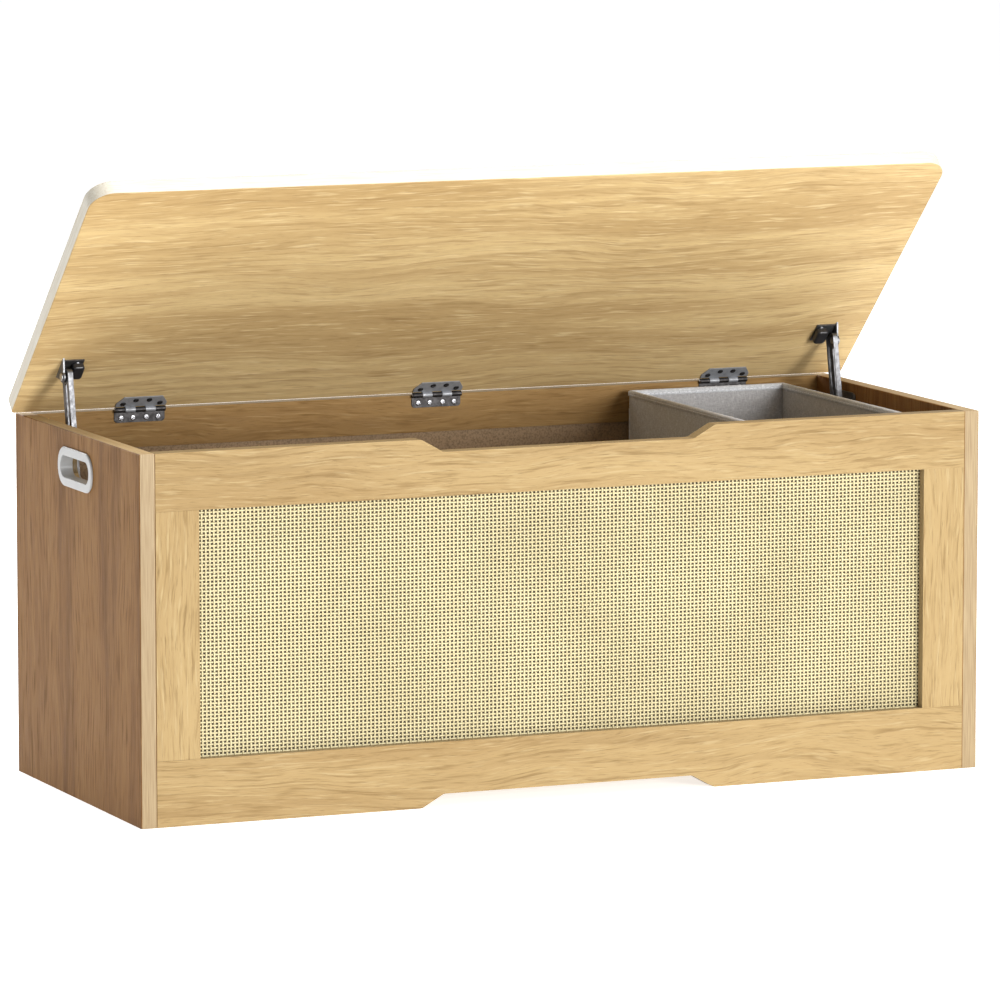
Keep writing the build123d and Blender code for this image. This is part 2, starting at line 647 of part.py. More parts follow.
def stay_bracket(name, sign):
    """Steel angle screwed under the lid, whose ear carries the stay's pivot."""
    web_out = STAY_WEB_X + STAY_T
    ear_in = sign * (web_out + EAR_GAP)
    ear_out = sign * (web_out + EAR_GAP + EAR_T)
    base_in = sign * CAP_IN_X
    with BuildPart() as bracket:
        with BuildSketch(lid_side_plane(min(ear_in, ear_out))):
            with BuildLine():
                Polyline(
                    (-STAY_REACH - EAR_ROOT_W / 2, KNUCKLE_R),
                    (-STAY_REACH - EAR_R, -STAY_DROP + EAR_NECK),
                    (-STAY_REACH + EAR_R, -STAY_DROP + EAR_NECK),
                    (-STAY_REACH + EAR_ROOT_W / 2, KNUCKLE_R),
                    close=True,
                )
            make_face()
            with Locations((-STAY_REACH, -STAY_DROP)):
                Circle(EAR_R)
                Circle(RIVET_R + FIT_PLAY, mode=Mode.SUBTRACT)
        extrude(amount=EAR_T)
        with BuildSketch(LID_PLANE.offset(KNUCKLE_R - STAY_T)):
            with Locations(((base_in + ear_out) / 2, -STAY_REACH)):
                Rectangle(abs(ear_out - base_in), BRACKET_W)
            with Locations(*bracket_screw_places(sign)):
                Circle(SCREW_R + FIT_PLAY, mode=Mode.SUBTRACT)
        extrude(amount=STAY_T)
    save(bracket, f"stay_bracket_{name}")

    with BuildPart() as rivet:
        y, z = lid_point(-STAY_REACH, -STAY_DROP)
        inboard = sign * (STAY_WEB_X - RIVET_GAP)
        clinched = ear_out + sign * FIT_PLAY
        rod_x(inboard, clinched, y, z, RIVET_R)
        rod_x(inboard, inboard - sign * RIVET_HEAD_T, y, z, RIVET_HEAD_R)
        rod_x(clinched, ear_out + sign * RIVET_HEAD_T, y, z, RIVET_HEAD_R)
    save(rivet, f"stay_rivet_{name}")

    with BuildPart() as cap:
        with BuildSketch(LID_PLANE.offset(KNUCKLE_R - STAY_T - SCREW_HEAD_T - CAP_GAP)):
            with Locations((sign * (CAP_IN_X + CAP_W / 2), -STAY_REACH)):
                RectangleRounded(CAP_W, CAP_L, CAP_CORNER_R)
        extrude(amount=-(CAP_H - STAY_T - SCREW_HEAD_T))
        low = cap.faces().filter_by(Plane(LID_PLANE.location)).sort_by(Axis.Z)[0]
        fillet(low.edges(), CAP_EDGE_R)
    save(cap, f"stay_cap_{name}")


def stay_channel(name, sign):
    """Slotted channel, hung from the lid's pivot, that runs down over the guide pin."""
    pivot_y, pivot_z = lid_point(-STAY_REACH, -STAY_DROP)
    run_y = GUIDE_Y - pivot_y
    run_z = GUIDE_Z - pivot_z
    span = hypot(run_y, run_z)
    web_in = sign * STAY_WEB_X
    web_out = sign * (STAY_WEB_X + STAY_T)
    flange_in = sign * (STAY_WEB_X - STAY_FLANGE)
    length = STAY_TAIL + SLOT_FAR + STAY_END

    def along(x):
        return Plane(
            origin=(x, pivot_y, pivot_z), x_dir=(0, run_y / span, run_z / span), z_dir=(1, 0, 0)
        )

    slot_r = STAY_PIN_R + STAY_SLOT_PLAY
    with BuildPart() as channel:
        with BuildSketch(along(min(web_in, web_out))):
            with Locations((length / 2 - STAY_TAIL, 0)):
                RectangleRounded(length, STAY_W, STAY_END_R)
        extrude(amount=STAY_T)
        with BuildSketch(along(min(flange_in, web_in))):
            with Locations((length / 2 - STAY_TAIL, 0)):
                RectangleRounded(length, STAY_W, STAY_END_R)
                RectangleRounded(
                    length - 2 * STAY_T, STAY_W - 2 * STAY_T, STAY_END_R - STAY_T, mode=Mode.SUBTRACT
                )
        extrude(amount=STAY_FLANGE)
        with BuildSketch(along(min(flange_in, web_out) - PAST)):
            with Locations(((SLOT_NEAR + SLOT_FAR) / 2, 0)):
                SlotCenterToCenter(SLOT_FAR - SLOT_NEAR + 2 * STAY_SLOT_PLAY, 2 * slot_r)
            Circle(RIVET_R + FIT_PLAY)
        extrude(amount=STAY_FLANGE + STAY_T + 2 * PAST, mode=Mode.SUBTRACT)
    save(channel, f"stay_channel_{name}")


def stay_guide(name, sign):
    """Plate on the side panel with the guide pin that runs in the channel's slot."""
    wall = sign * INNER_X
    face = sign * (INNER_X - GUIDE_PLATE_T)
    head_out = sign * (STAY_WEB_X - GUIDE_HEAD_GAP)
    head_in = head_out - sign * GUIDE_HEAD_T
    with BuildPart() as guide_plate:
        with BuildSketch(facing_x(min(wall, face), GUIDE_Y, GUIDE_Z)):
            RectangleRounded(GUIDE_PLATE_L, GUIDE_PLATE_W, GUIDE_PLATE_R)
            with Locations((-GUIDE_SCREW_GAP / 2, 0), (GUIDE_SCREW_GAP / 2, 0)):
                Circle(SCREW_R + FIT_PLAY, mode=Mode.SUBTRACT)
        extrude(amount=GUIDE_PLATE_T)
    save(guide_plate, f"stay_guide_plate_{name}")
    with BuildPart() as guide_pin:
        rod_x(face, head_out, GUIDE_Y, GUIDE_Z, STAY_PIN_R)
        rod_x(head_in, head_out, GUIDE_Y, GUIDE_Z, GUIDE_HEAD_R)
    save(guide_pin, f"stay_guide_pin_{name}")


def stay_screws():
    """Screws of the stay brackets under the lid and of the guide plates."""
    with BuildPart() as stay_lid_screws:
        places = [spot for sign in SIDES.values() for spot in bracket_screw_places(sign)]
        with BuildSketch(LID_PLANE.offset(KNUCKLE_R - STAY_T)):
            with Locations(*places):
                Circle(SCREW_R)
        extrude(amount=SCREW_L)
        with BuildSketch(LID_PLANE.offset(KNUCKLE_R - STAY_T)):
            with Locations(*places):
                Circle(SCREW_HEAD_R)
        extrude(amount=-SCREW_HEAD_T)
    save(stay_lid_screws, "stay_lid_screws")
    with BuildPart() as stay_guide_screws:
        for sign in SIDES.values():
            face = sign * (INNER_X - GUIDE_PLATE_T)
            for offset in (-GUIDE_SCREW_GAP / 2, GUIDE_SCREW_GAP / 2):
                y = GUIDE_Y + offset
                screw_end = sign * (INNER_X + SCREW_L - GUIDE_PLATE_T - SCREW_END_PLAY)
                rod_x(face, screw_end, y, GUIDE_Z, SCREW_R)
                rod_x(face - sign * SCREW_HEAD_T, face, y, GUIDE_Z, SCREW_HEAD_R)
    save(stay_guide_screws, "stay_guide_screws")


# ---------------------------------------------------------------- loose bin
def toy_bin():
    """Stiffened fabric bin: a base, four walls and the binding round its rim."""
    x0 = BIN_X0
    x1 = BIN_X0 + BIN_W
    y0 = BIN_FRONT_Y
    y1 = BIN_FRONT_Y + BIN_L
    z0 = FLOOR_TOP + BIN_CLEAR
    z1 = BIN_TOP - BIN_RIM_H
    with BuildPart() as bin_base:
        block((x0, y0, z0), (x1, y1, z0 + BIN_T))
    save(bin_base, "bin_base")
    walls = {
        "bin_left_wall": ((x0, y0, z0 + BIN_T), (x0 + BIN_T, y1, z1)),
        "bin_right_wall": ((x1 - BIN_T, y0, z0 + BIN_T), (x1, y1, z1)),
        "bin_front_wall": ((x0 + BIN_T, y0, z0 + BIN_T), (x1 - BIN_T, y0 + BIN_T, z1)),
        "bin_back_wall": ((x0 + BIN_T, y1 - BIN_T, z0 + BIN_T), (x1 - BIN_T, y1, z1)),
    }
    for node, (low, high) in walls.items():
        with BuildPart() as bin_wall:
            block(low, high)
        save(bin_wall, node)
    with BuildPart() as bin_rim_binding:
        block((x0, y0, z1), (x1, y1, BIN_TOP))
        block((x0 + BIN_T, y0 + BIN_T, z1), (x1 - BIN_T, y1 - BIN_T, BIN_TOP), mode=Mode.SUBTRACT)
    save(bin_rim_binding, "bin_rim_binding")


for name, sign in SIDES.items():
    side_panel(name, sign)
    front_stile(name, sign)
    handle(name, sign)
    stay_bracket(name, sign)
    stay_channel(name, sign)
    stay_guide(name, sign)

front_rail("front_top", "front_top_rail", OPEN_TOP, HEIGHT, HEIGHT, OPEN_TOP)
front_rail("front_bottom", "front_bottom_rail", 0, BOTTOM_RAIL_H, 0, BOTTOM_RAIL_H)
cane_and_backing()
back_rail(
    "back_top", "back_top_rail", HEIGHT - BACK_TOP_H, HEIGHT, HEIGHT - BACK_TOP_H,
    HEIGHT - BACK_TOP_H + GROOVE_D, True,
)
back_rail(
    "back_bottom", "back_bottom_rail", 0, BACK_BOTTOM_H, BACK_BOTTOM_H - GROOVE_D, BACK_BOTTOM_H, False
)
back_panel()
bottom()
joinery()
lid_panel()
for name, hinge_x in HINGE_X.items():
    hinge(name, hinge_x)
hinge_screws()
stay_screws()
toy_bin()
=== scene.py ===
"""Toy box: the looks of an oak-board chest with a cane front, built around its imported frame."""

import logging
import math
import random
from dataclasses import dataclass, field, replace
from enum import Enum
from typing import Sequence

import bmesh
import bpy
import numpy as np
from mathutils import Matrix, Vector


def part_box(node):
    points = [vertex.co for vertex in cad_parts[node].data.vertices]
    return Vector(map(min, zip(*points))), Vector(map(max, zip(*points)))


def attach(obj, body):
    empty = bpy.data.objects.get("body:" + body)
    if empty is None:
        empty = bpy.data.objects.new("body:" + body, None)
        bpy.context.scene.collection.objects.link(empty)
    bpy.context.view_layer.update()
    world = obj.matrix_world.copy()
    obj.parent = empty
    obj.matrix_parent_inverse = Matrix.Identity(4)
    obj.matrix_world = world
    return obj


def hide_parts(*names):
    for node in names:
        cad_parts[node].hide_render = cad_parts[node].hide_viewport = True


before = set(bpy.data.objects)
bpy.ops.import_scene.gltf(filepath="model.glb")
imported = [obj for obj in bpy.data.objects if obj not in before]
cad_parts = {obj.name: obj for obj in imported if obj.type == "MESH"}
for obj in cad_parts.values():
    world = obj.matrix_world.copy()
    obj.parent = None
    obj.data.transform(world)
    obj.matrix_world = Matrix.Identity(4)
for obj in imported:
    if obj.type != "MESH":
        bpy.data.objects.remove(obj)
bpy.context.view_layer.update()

log = logging.getLogger("toy_box")
MM = 0.001
MERGE = 0.002 * MM  # corners closer than this are one
FLAT = math.radians(0.6)  # faces that turn less are one flat face
SHARP = math.radians(32)  # edges that turn more are eased
RIM_DEPTH = 0.01 * MM  # corners this near to a screw's top belong to its top edge

Colour = tuple[float, float, float]
Point = tuple[float, float, float]
Socket = bpy.types.NodeSocket


# ------------------------------------------------------------------ material graphs
class Graph:
    """A small builder for one material's node tree, around one Principled shader."""

    def __init__(self, name: str) -> None:
        """Start an empty material.

        Args:
            name: The material's name.
        """
        self.material = bpy.data.materials.new(name)
        self.material.use_nodes = True
        self.tree = self.material.node_tree
        self.tree.nodes.clear()
        self.shader = self.tree.nodes.new("ShaderNodeBsdfPrincipled")
        out = self.tree.nodes.new("ShaderNodeOutputMaterial")
        self.tree.links.new(self.shader.outputs[0], out.inputs[0])

    def feed(self, socket: Socket, value: object) -> None:
        """Put a value or another socket into an input.

        Args:
            socket: The input.
            value: A number, a colour or an output socket.
        """
        if isinstance(value, bpy.types.NodeSocket):
            self.tree.links.new(value, socket)
        elif isinstance(value, tuple) and len(value) == 3 and socket.type == "RGBA":
            socket.default_value = (*value, 1.0)
        else:
            socket.default_value = value

    def node(self, kind: str, inputs: dict, **settings: object) -> bpy.types.Node:
        """Add a node.

        Args:
            kind: The node's type name.
            inputs: Values or sockets by input name or number.
            settings: Properties set on the node first.

        Returns:
            The node.
        """
        made = self.tree.nodes.new(kind)
        for key, value in settings.items():
            setattr(made, key, value)
        for key, value in inputs.items():
            self.feed(made.inputs[key], value)
        return made

    def math(self, operation: str, a: object, b: object = 0.0, clamp: bool = False) -> Socket:
        """Combine two numbers.

        Args:
            operation: The Math node's operation.
            a: First value or socket.
            b: Second value or socket.
            clamp: Whether the result is kept between 0 and 1.

        Returns:
            The result's socket.
        """
        return self.node("ShaderNodeMath", {0: a, 1: b}, operation=operation, use_clamp=clamp).outputs[0]

    def place(self) -> Socket:
        """Return the piece's own coordinates, which don't move with its pose."""
        return self.node("ShaderNodeTexCoord", {}).outputs["Object"]

    def along(self, vector: Socket, axis: Point, offset: float = 0.0) -> Socket:
        """Measure a place along a direction.

        Args:
            vector: The place.
            axis: The direction.
            offset: Added to the measure.

        Returns:
            The distance's socket.
        """
        dot = self.node("ShaderNodeVectorMath", {0: vector, 1: axis}, operation="DOT_PRODUCT")
        return self.math("ADD", dot.outputs["Value"], offset)

    def scaled(self, vector: Socket, by: Point) -> Socket:
        """Scale a place by its own factor on each axis."""
        return self.node("ShaderNodeVectorMath", {0: vector, 1: by}, operation="MULTIPLY").outputs[0]

    def combine(self, x: object, y: object, z: object) -> Socket:
        """Join three numbers into a vector socket."""
        return self.node("ShaderNodeCombineXYZ", {0: x, 1: y, 2: z}).outputs[0]

    def noise(self, vector: Socket, scale: float, detail: float = 2.0, rough: float = 0.5) -> Socket:
        """Sample a noise.

        Args:
            vector: Where to sample it.
            scale: Its scale.
            detail: Octaves.
            rough: How strong the finer octaves are.

        Returns:
            The noise's value, about 0 to 1.
        """
        inputs = {"Vector": vector, "Scale": scale, "Detail": detail, "Roughness": rough}
        return self.node("ShaderNodeTexNoise", inputs).outputs[0]

    def spread(
        self, value: Socket, low: float, high: float, to_low: float = 0.0, to_high: float = 1.0
    ) -> Socket:
        """Map a range of a value smoothly onto another range.

        Args:
            value: The value.
            low: Value that gives to_low.
            high: Value that gives to_high.
            to_low: Lowest result.
            to_high: Highest result.

        Returns:
            The mapped value's socket.
        """
        inputs = {"Value": value, "From Min": low, "From Max": high, "To Min": to_low, "To Max": to_high}
        return self.node("ShaderNodeMapRange", inputs, interpolation_type="SMOOTHSTEP").outputs[0]

    def blend(self, share: object, a: object, b: object, mode: str = "MIX") -> Socket:
        """Mix two colours.

        Args:
            share: How much of b shows.
            a: First colour.
            b: Second colour.
            mode: The blend type.

        Returns:
            The mixed colour's socket.
        """
        made = self.node("ShaderNodeMix", {}, data_type="RGBA", blend_type=mode)
        self.feed(made.inputs["Factor"], share)
        self.feed(made.inputs[6], a)
        self.feed(made.inputs[7], b)
        return made.outputs[2]

    def relief(self, height: Socket, depth: float, strength: float = 1.0) -> None:
        """Drive the shader's normal from a height.

        Args:
            height: The height's socket.
            depth: Metres of relief for a height of one.
            strength: Share of the full effect.
        """
        inputs = {"Height": height, "Distance": depth, "Strength": strength}
        self.feed(self.shader.inputs["Normal"], self.node("ShaderNodeBump", inputs).outputs[0])

    def dress(self, **values: object) -> bpy.types.Material:
        """Set the shader's inputs and give the material.

        Args:
            values: Values or sockets by input name, with _ for a space.

        Returns:
            The material.
        """
        for key, value in values.items():
            self.feed(self.shader.inputs[key.replace("_", " ")], value)
        return self.material


class Grain(Enum):
    """Which way a board's grain runs: its directions along, across and square to the face."""

    LEVEL = ((1.0, 0.0, 0.0), (0.0, 0.0, 1.0), (0.0, 1.0, 0.0))
    END_BOARD = ((0.0, 0.0, 1.0), (0.0, 1.0, 0.0), (1.0, 0.0, 0.0))
    STILE = ((0.0, 0.0, 1.0), (1.0, 0.0, 0.0), (0.0, 1.0, 0.0))
    FLOOR = ((1.0, 0.0, 0.0), (0.0, 1.0, 0.0), (0.0, 0.0, 1.0))
    BATTEN = ((0.0, 1.0, 0.0), (0.0, 0.0, 1.0), (1.0, 0.0, 0.0))


@dataclass(frozen=True)
class OakFinish:
    """Light oak foil on board: cathedral figure, fine fibres and dark pores."""

    name: str
    along: Point
    across: Point
    square: Point
    start: float = 0.0
    figure: float = 1.0
    arch_centre: float = 0.0
    light: Colour = (0.390, 0.275, 0.131)
    middle: Colour = (0.316, 0.209, 0.092)
    dark: Colour = (0.170, 0.098, 0.036)
    ring_pitch: float = 0.017
    arch_pitch: float = 0.22
    pith_depth: float = 0.03
    wander: float = 0.014
    contrast: float = 0.50
    gleam: Colour = (0.460, 0.350, 0.190)
    pore: Colour = (0.112, 0.062, 0.024)
    bands: float = 0.0
    # Features per metre along the grain, across it and into the board.
    drift_grain: Point = (2.2, 6.0, 1.0)
    ripple_grain: Point = (13.0, 42.0, 1.0)
    fade_grain: Point = (3.1, 15.0, 1.0)
    band_grain: Point = (1.1, 15.0, 1.0)
    dash_grain: Point = (17.0, 300.0, 60.0)
    gleam_grain: Point = (21.0, 380.0, 70.0)
    fibre_grain: Point = (40.0, 950.0, 200.0)
    pore_grain: Point = (60.0, 1400.0, 200.0)
    ripple: float = 0.0014

    def material(self) -> bpy.types.Material:
        """Build the material.

        Returns:
            The oak material.
        """
        g = Graph(self.name)
        place = g.place()
        u = g.along(place, self.along, self.start)
        v = g.along(place, self.across, -self.arch_centre)
        w = g.along(place, self.square, self.start * 0.37)
        drift = g.noise(self.stretched(g, u, v, w, self.drift_grain), 1.0, 2.0)
        ripple = g.noise(self.stretched(g, u, v, w, self.ripple_grain), 1.0, 2.0)
        wandered = g.math("ADD", v, g.spread(drift, 0.25, 0.75, -self.wander, self.wander))
        wandered = g.math("ADD", wandered, g.spread(ripple, 0.2, 0.8, -self.ripple, self.ripple))
        radius = g.math("SQRT", g.math("ADD", g.math("MULTIPLY", wandered, wandered), self.pith_depth**2))
        arches = g.math("DIVIDE", u, self.arch_pitch)
        rings = g.math("SUBTRACT", g.math("DIVIDE", radius, self.ring_pitch), arches)
        phase = g.math("FRACT", rings)
        late = g.math("MULTIPLY", g.spread(phase, 0.10, 0.85), g.spread(phase, 1.0, 0.88))
        fade = g.spread(g.noise(self.stretched(g, u, v, w, self.fade_grain), 1.0), 0.38, 0.72)
        figure = g.math("MULTIPLY", g.math("MULTIPLY", late, fade), self.figure)
        band = g.noise(self.stretched(g, u, wandered, w, self.band_grain), 1.0, 3.0, 0.55)
        dash = g.noise(self.stretched(g, u, wandered, w, self.dash_grain), 1.0, 2.0, 0.6)
        gleam = g.noise(self.stretched(g, u, wandered, w, self.gleam_grain), 1.0, 2.0, 0.6)
        fibre = g.noise(self.stretched(g, u, wandered, w, self.fibre_grain), 1.0, 2.0, 0.6)
        pore = g.spread(g.noise(self.stretched(g, u, wandered, w, self.pore_grain), 1.0), 0.60, 0.72)
        colour = g.blend(g.spread(band, 0.30, 0.70), self.light, self.middle)
        colour = g.blend(g.spread(band, 0.42, 0.66, 0.0, self.bands), colour, self.dark)
        colour = g.blend(g.math("MULTIPLY", figure, 0.30, True), colour, self.dark)
        colour = g.blend(g.spread(dash, 0.50, 0.72, 0.0, self.contrast), colour, self.dark)
        colour = g.blend(g.spread(gleam, 0.54, 0.72, 0.0, 0.55), colour, self.gleam)
        colour = g.blend(g.spread(fibre, 0.50, 0.72, 0.0, 0.22), colour, self.dark)
        colour = g.blend(g.math("MULTIPLY", pore, 0.40), colour, self.pore)
        height = g.math("MULTIPLY", pore, -0.8)
        height = g.math("SUBTRACT", height, g.math("MULTIPLY", dash, 0.5))
        height = g.math("SUBTRACT", height, g.math("MULTIPLY", fibre, 0.35))
        g.relief(height, 0.12 * MM, 0.75)
        roughness = g.spread(dash, 0.25, 0.75, 0.52, 0.66)
        return g.dress(Base_Color=colour, Roughness=roughness, Specular_IOR_Level=0.14)

    def stretched(self, g: Graph, u: Socket, v: Socket, w: Socket, features: Point) -> Socket:
        """Stretch the board's coordinates so that a noise runs with the grain.

        Args:
            g: The material's graph.
            u: Place along the grain.
            v: Place across it.
            w: Place square to the face.
            features: Features per metre along the grain, across it and into the board.

        Returns:
            The stretched place.
        """
        return g.combine(*(g.math("MULTIPLY", side, count) for side, count in zip((u, v, w), features)))


@dataclass(frozen=True)
class BandFinish:
    """Edge band glued round the boards: straight narrow grain along the edge."""

    name: str
    along: Point
    start: float = 0.0
    light: Colour = (0.310, 0.222, 0.108)
    dark: Colour = (0.225, 0.148, 0.065)
    fibres: float = 900.0
    drawn: float = 880.0

    def material(self) -> bpy.types.Material:
        """Build the material.

        Returns:
            The edge-band material.
        """
        g = Graph(self.name)
        place = g.place()
        long = g.along(place, self.along, self.start)
        fine = g.scaled(place, (self.fibres, self.fibres, self.fibres))
        pull = {0: self.along, "Scale": g.math("MULTIPLY", long, -self.drawn)}
        back = g.node("ShaderNodeVectorMath", pull, operation="SCALE").outputs[0]
        spot = g.node("ShaderNodeVectorMath", {0: fine, 1: back}, operation="ADD").outputs[0]
        fibre = g.noise(spot, 1.0, 2.0, 0.6)
        broad = g.noise(place, 9.0, 3.0)
        colour = g.blend(g.spread(fibre, 0.35, 0.7), self.light, self.dark)
        colour = g.blend(g.spread(broad, 0.35, 0.7, 0.0, 0.35), colour, self.dark)
        g.relief(fibre, 0.06 * MM, 0.6)
        roughness = g.spread(fibre, 0.2, 0.8, 0.42, 0.56)
        return g.dress(Base_Color=colour, Roughness=roughness, Specular_IOR_Level=0.4)


@dataclass(frozen=True)
class CaneFinish:
    """Peeled cane strand: glossy cream skin with long fibres and brown nodes."""

    name: str = "cane_strand"
    painted_light_lid_tone: Colour = (0.60, 0.525, 0.305)
    straw: Colour = (0.46, 0.385, 0.205)
    fleck: Colour = (0.33, 0.23, 0.09)

    def material(self) -> bpy.types.Material:
        """Build the material.

        Returns:
            The cane material.
        """
        g = Graph(self.name)
        place = g.place()
        broad = g.noise(place, 7.0, 3.0)
        fine = g.noise(place, 900.0, 2.0)
        patch = g.noise(place, 150.0, 2.0)
        colour = g.blend(g.spread(broad, 0.35, 0.7, 0.0, 0.45), self.painted_light_lid_tone, self.straw)
        colour = g.blend(g.spread(patch, 0.55, 0.8, 0.0, 0.5), colour, self.straw)
        colour = g.blend(g.spread(fine, 0.6, 0.8, 0.0, 0.35), colour, self.fleck)
        g.relief(fine, 0.05 * MM, 0.6)
        roughness = g.spread(fine, 0.3, 0.7, 0.42, 0.6)
        return g.dress(Base_Color=colour, Roughness=roughness, Specular_IOR_Level=0.45)


@dataclass(frozen=True)
class MetalFinish:
    """Plated steel: grey metal with fine rolling lines, clouded plating and dull spots."""

    name: str
    colour: Colour
    roughness: float = 0.34
    lines: Point = (40.0, 900.0, 900.0)
    metallic: float = 1.0

    def material(self) -> bpy.types.Material:
        """Build the material.

        Returns:
            The metal material.
        """
        g = Graph(self.name)
        place = g.place()
        line = g.noise(g.scaled(place, self.lines), 1.0, 2.0)
        cloud = g.noise(place, 160.0, 4.0, 0.6)
        dull = tuple(c * 0.62 for c in self.colour)
        colour = g.blend(g.spread(cloud, 0.4, 0.75, 0.0, 0.6), self.colour, dull)
        g.relief(line, 0.03 * MM, 0.5)
        rough = g.spread(cloud, 0.25, 0.75, self.roughness - 0.08, self.roughness + 0.14)
        return g.dress(Base_Color=colour, Roughness=rough, Metallic=self.metallic)


@dataclass(frozen=True)
class MouldedFinish:
    """Moulded plastic: even colour with a fine spark-eroded texture."""

    name: str
    colour: Colour
    roughness: float = 0.36

    def material(self) -> bpy.types.Material:
        """Build the material.

        Returns:
            The plastic material.
        """
        g = Graph(self.name)
        place = g.place()
        pits = g.noise(place, 2600.0, 2.0)
        cloud = g.noise(place, 60.0, 3.0)
        shade = tuple(c * 0.86 for c in self.colour)
        colour = g.blend(g.spread(cloud, 0.35, 0.75, 0.0, 0.5), self.colour, shade)
        g.relief(pits, 0.02 * MM, 0.5)
        rough = g.spread(pits, 0.3, 0.7, self.roughness - 0.06, self.roughness + 0.08)
        return g.dress(Base_Color=colour, Roughness=rough)


@dataclass(frozen=True)
class FeltFinish:
    """Grey needled fabric of the bin: crossed fibres, soft mottling and a dull nap."""

    name: str
    colour: Colour
    thread: float = 1250.0
    drawn: float = 0.16

    def material(self) -> bpy.types.Material:
        """Build the material.

        Returns:
            The fabric material.
        """
        g = Graph(self.name)
        place = g.place()
        upright = g.noise(g.scaled(place, (1.0, 1.0, self.drawn)), self.thread, 1.0)
        level = g.noise(g.scaled(place, (self.drawn, self.drawn, 1.0)), self.thread, 1.0)
        weave = g.math("MAXIMUM", upright, level)
        mottle = g.noise(place, 220.0, 4.0, 0.6)
        painted_light_lid_tone = tuple(min(1.0, c * 1.45) for c in self.colour)
        deep = tuple(c * 0.72 for c in self.colour)
        colour = g.blend(g.spread(weave, 0.42, 0.72), deep, self.colour)
        colour = g.blend(g.spread(mottle, 0.5, 0.8, 0.0, 0.55), colour, painted_light_lid_tone)
        g.relief(weave, 0.25 * MM, 0.5)
        rough = g.spread(mottle, 0.3, 0.7, 0.82, 0.95)
        return g.dress(Base_Color=colour, Roughness=rough, Sheen_Weight=0.25, Sheen_Roughness=0.5)


@dataclass(frozen=True)
class HardboardFinish:
    """Thin pressed board: matt brown with pressed fibres."""

    name: str
    colour: Colour

    def material(self) -> bpy.types.Material:
        """Build the material.

        Returns:
            The hardboard material.
        """
        g = Graph(self.name)
        place = g.place()
        flake = g.noise(place, 420.0, 4.0, 0.7)
        broad = g.noise(place, 6.0, 3.0)
        deep = tuple(c * 0.55 for c in self.colour)
        colour = g.blend(g.spread(flake, 0.4, 0.7), self.colour, deep)
        colour = g.blend(g.spread(broad, 0.35, 0.75, 0.0, 0.4), colour, deep)
        g.relief(flake, 0.1 * MM, 0.6)
        return g.dress(Base_Color=colour, Roughness=g.spread(flake, 0.3, 0.7, 0.62, 0.8))


# ------------------------------------------------------------------ mesh helpers
def add_piece(
    name: str, mesh: bpy.types.Mesh, body: str, nodes: Sequence[str] = ()
) -> bpy.types.Object:
    """Put a finished mesh in the scene as a piece of the object.

    Args:
        name: The piece's name.
        mesh: Its mesh, in the frame's coordinates.
        body: The body it rides on.
        nodes: CAD nodes that it stands for.

    Returns:
        The new object.
    """
    made = bpy.data.objects.new(name, mesh)
    bpy.context.scene.collection.objects.link(made)
    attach(made, body)
    if nodes:
        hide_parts(*nodes)
    log.info("%s: %d faces on %s", name, len(mesh.polygons), body)
    return made


def smooth(made: bpy.types.Object, angle: float = 40.0) -> None:
    """Shade a piece smooth, with its sharp edges kept and its flats flat.

    Args:
        made: The piece.
        angle: Edges that turn more than this stay sharp, in degrees.
    """
    mesh = made.data
    mesh.polygons.foreach_set("use_smooth", [True] * len(mesh.polygons))
    mesh.set_sharp_from_angle(angle=math.radians(angle))
    weighted = made.modifiers.new("flat_faces", "WEIGHTED_NORMAL")
    weighted.keep_sharp = True


def mesh_from(name: str, bm: bmesh.types.BMesh) -> bpy.types.Mesh:
    """Turn a finished bmesh into a mesh and free it.

    Args:
        name: The mesh's name.
        bm: The finished bmesh.

    Returns:
        The mesh.
    """
    mesh = bpy.data.meshes.new(name)
    bm.to_mesh(mesh)
    bm.free()
    return mesh


def refined_mesh(node: str, bevel: float, segments: int = 3) -> bpy.types.Mesh:
    """Copy a CAD node's shape with clean faces and its edges eased.

    Args:
        node: The CAD node.
        bevel: Width of the eased edges, in metres.
        segments: Facets across each eased edge.

    Returns:
        The new mesh; material 1 is on the eased edges.
    """
    bm = bmesh.new()
    bm.from_mesh(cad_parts[node].data)
    bmesh.ops.remove_doubles(bm, verts=bm.verts, dist=MERGE)
    bmesh.ops.dissolve_limit(bm, angle_limit=FLAT, verts=bm.verts, edges=bm.edges)
    for face in bm.faces:
        face.material_index = 0
    sharp = [e for e in bm.edges if len(e.link_faces) == 2 and e.calc_face_angle(0.0) > SHARP]
    if bevel > 0:
        bmesh.ops.bevel(
            bm, geom=sharp, offset=bevel, segments=segments, profile=0.5, affect="EDGES",
            clamp_overlap=True, material=1,
        )
    return mesh_from(node, bm)


def islands(node: str) -> list[np.ndarray]:
    """Find the separate solids of a grouped CAD node.

    Args:
        node: The CAD node.

    Returns:
        The corner coordinates of each solid.
    """
    bm = bmesh.new()
    bm.from_mesh(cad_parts[node].data)
    bmesh.ops.remove_doubles(bm, verts=bm.verts, dist=MERGE)
    found, seen = [], set()
    for start in bm.verts:
        if start in seen:
            continue
        group, queue = [], [start]
        seen.add(start)
        while queue:
            corner = queue.pop()
            group.append(tuple(corner.co))
            for edge in corner.link_edges:
                other = edge.other_vert(corner)
                if other not in seen:
                    seen.add(other)
                    queue.append(other)
        found.append(np.array(group))
    bm.free()
    return found


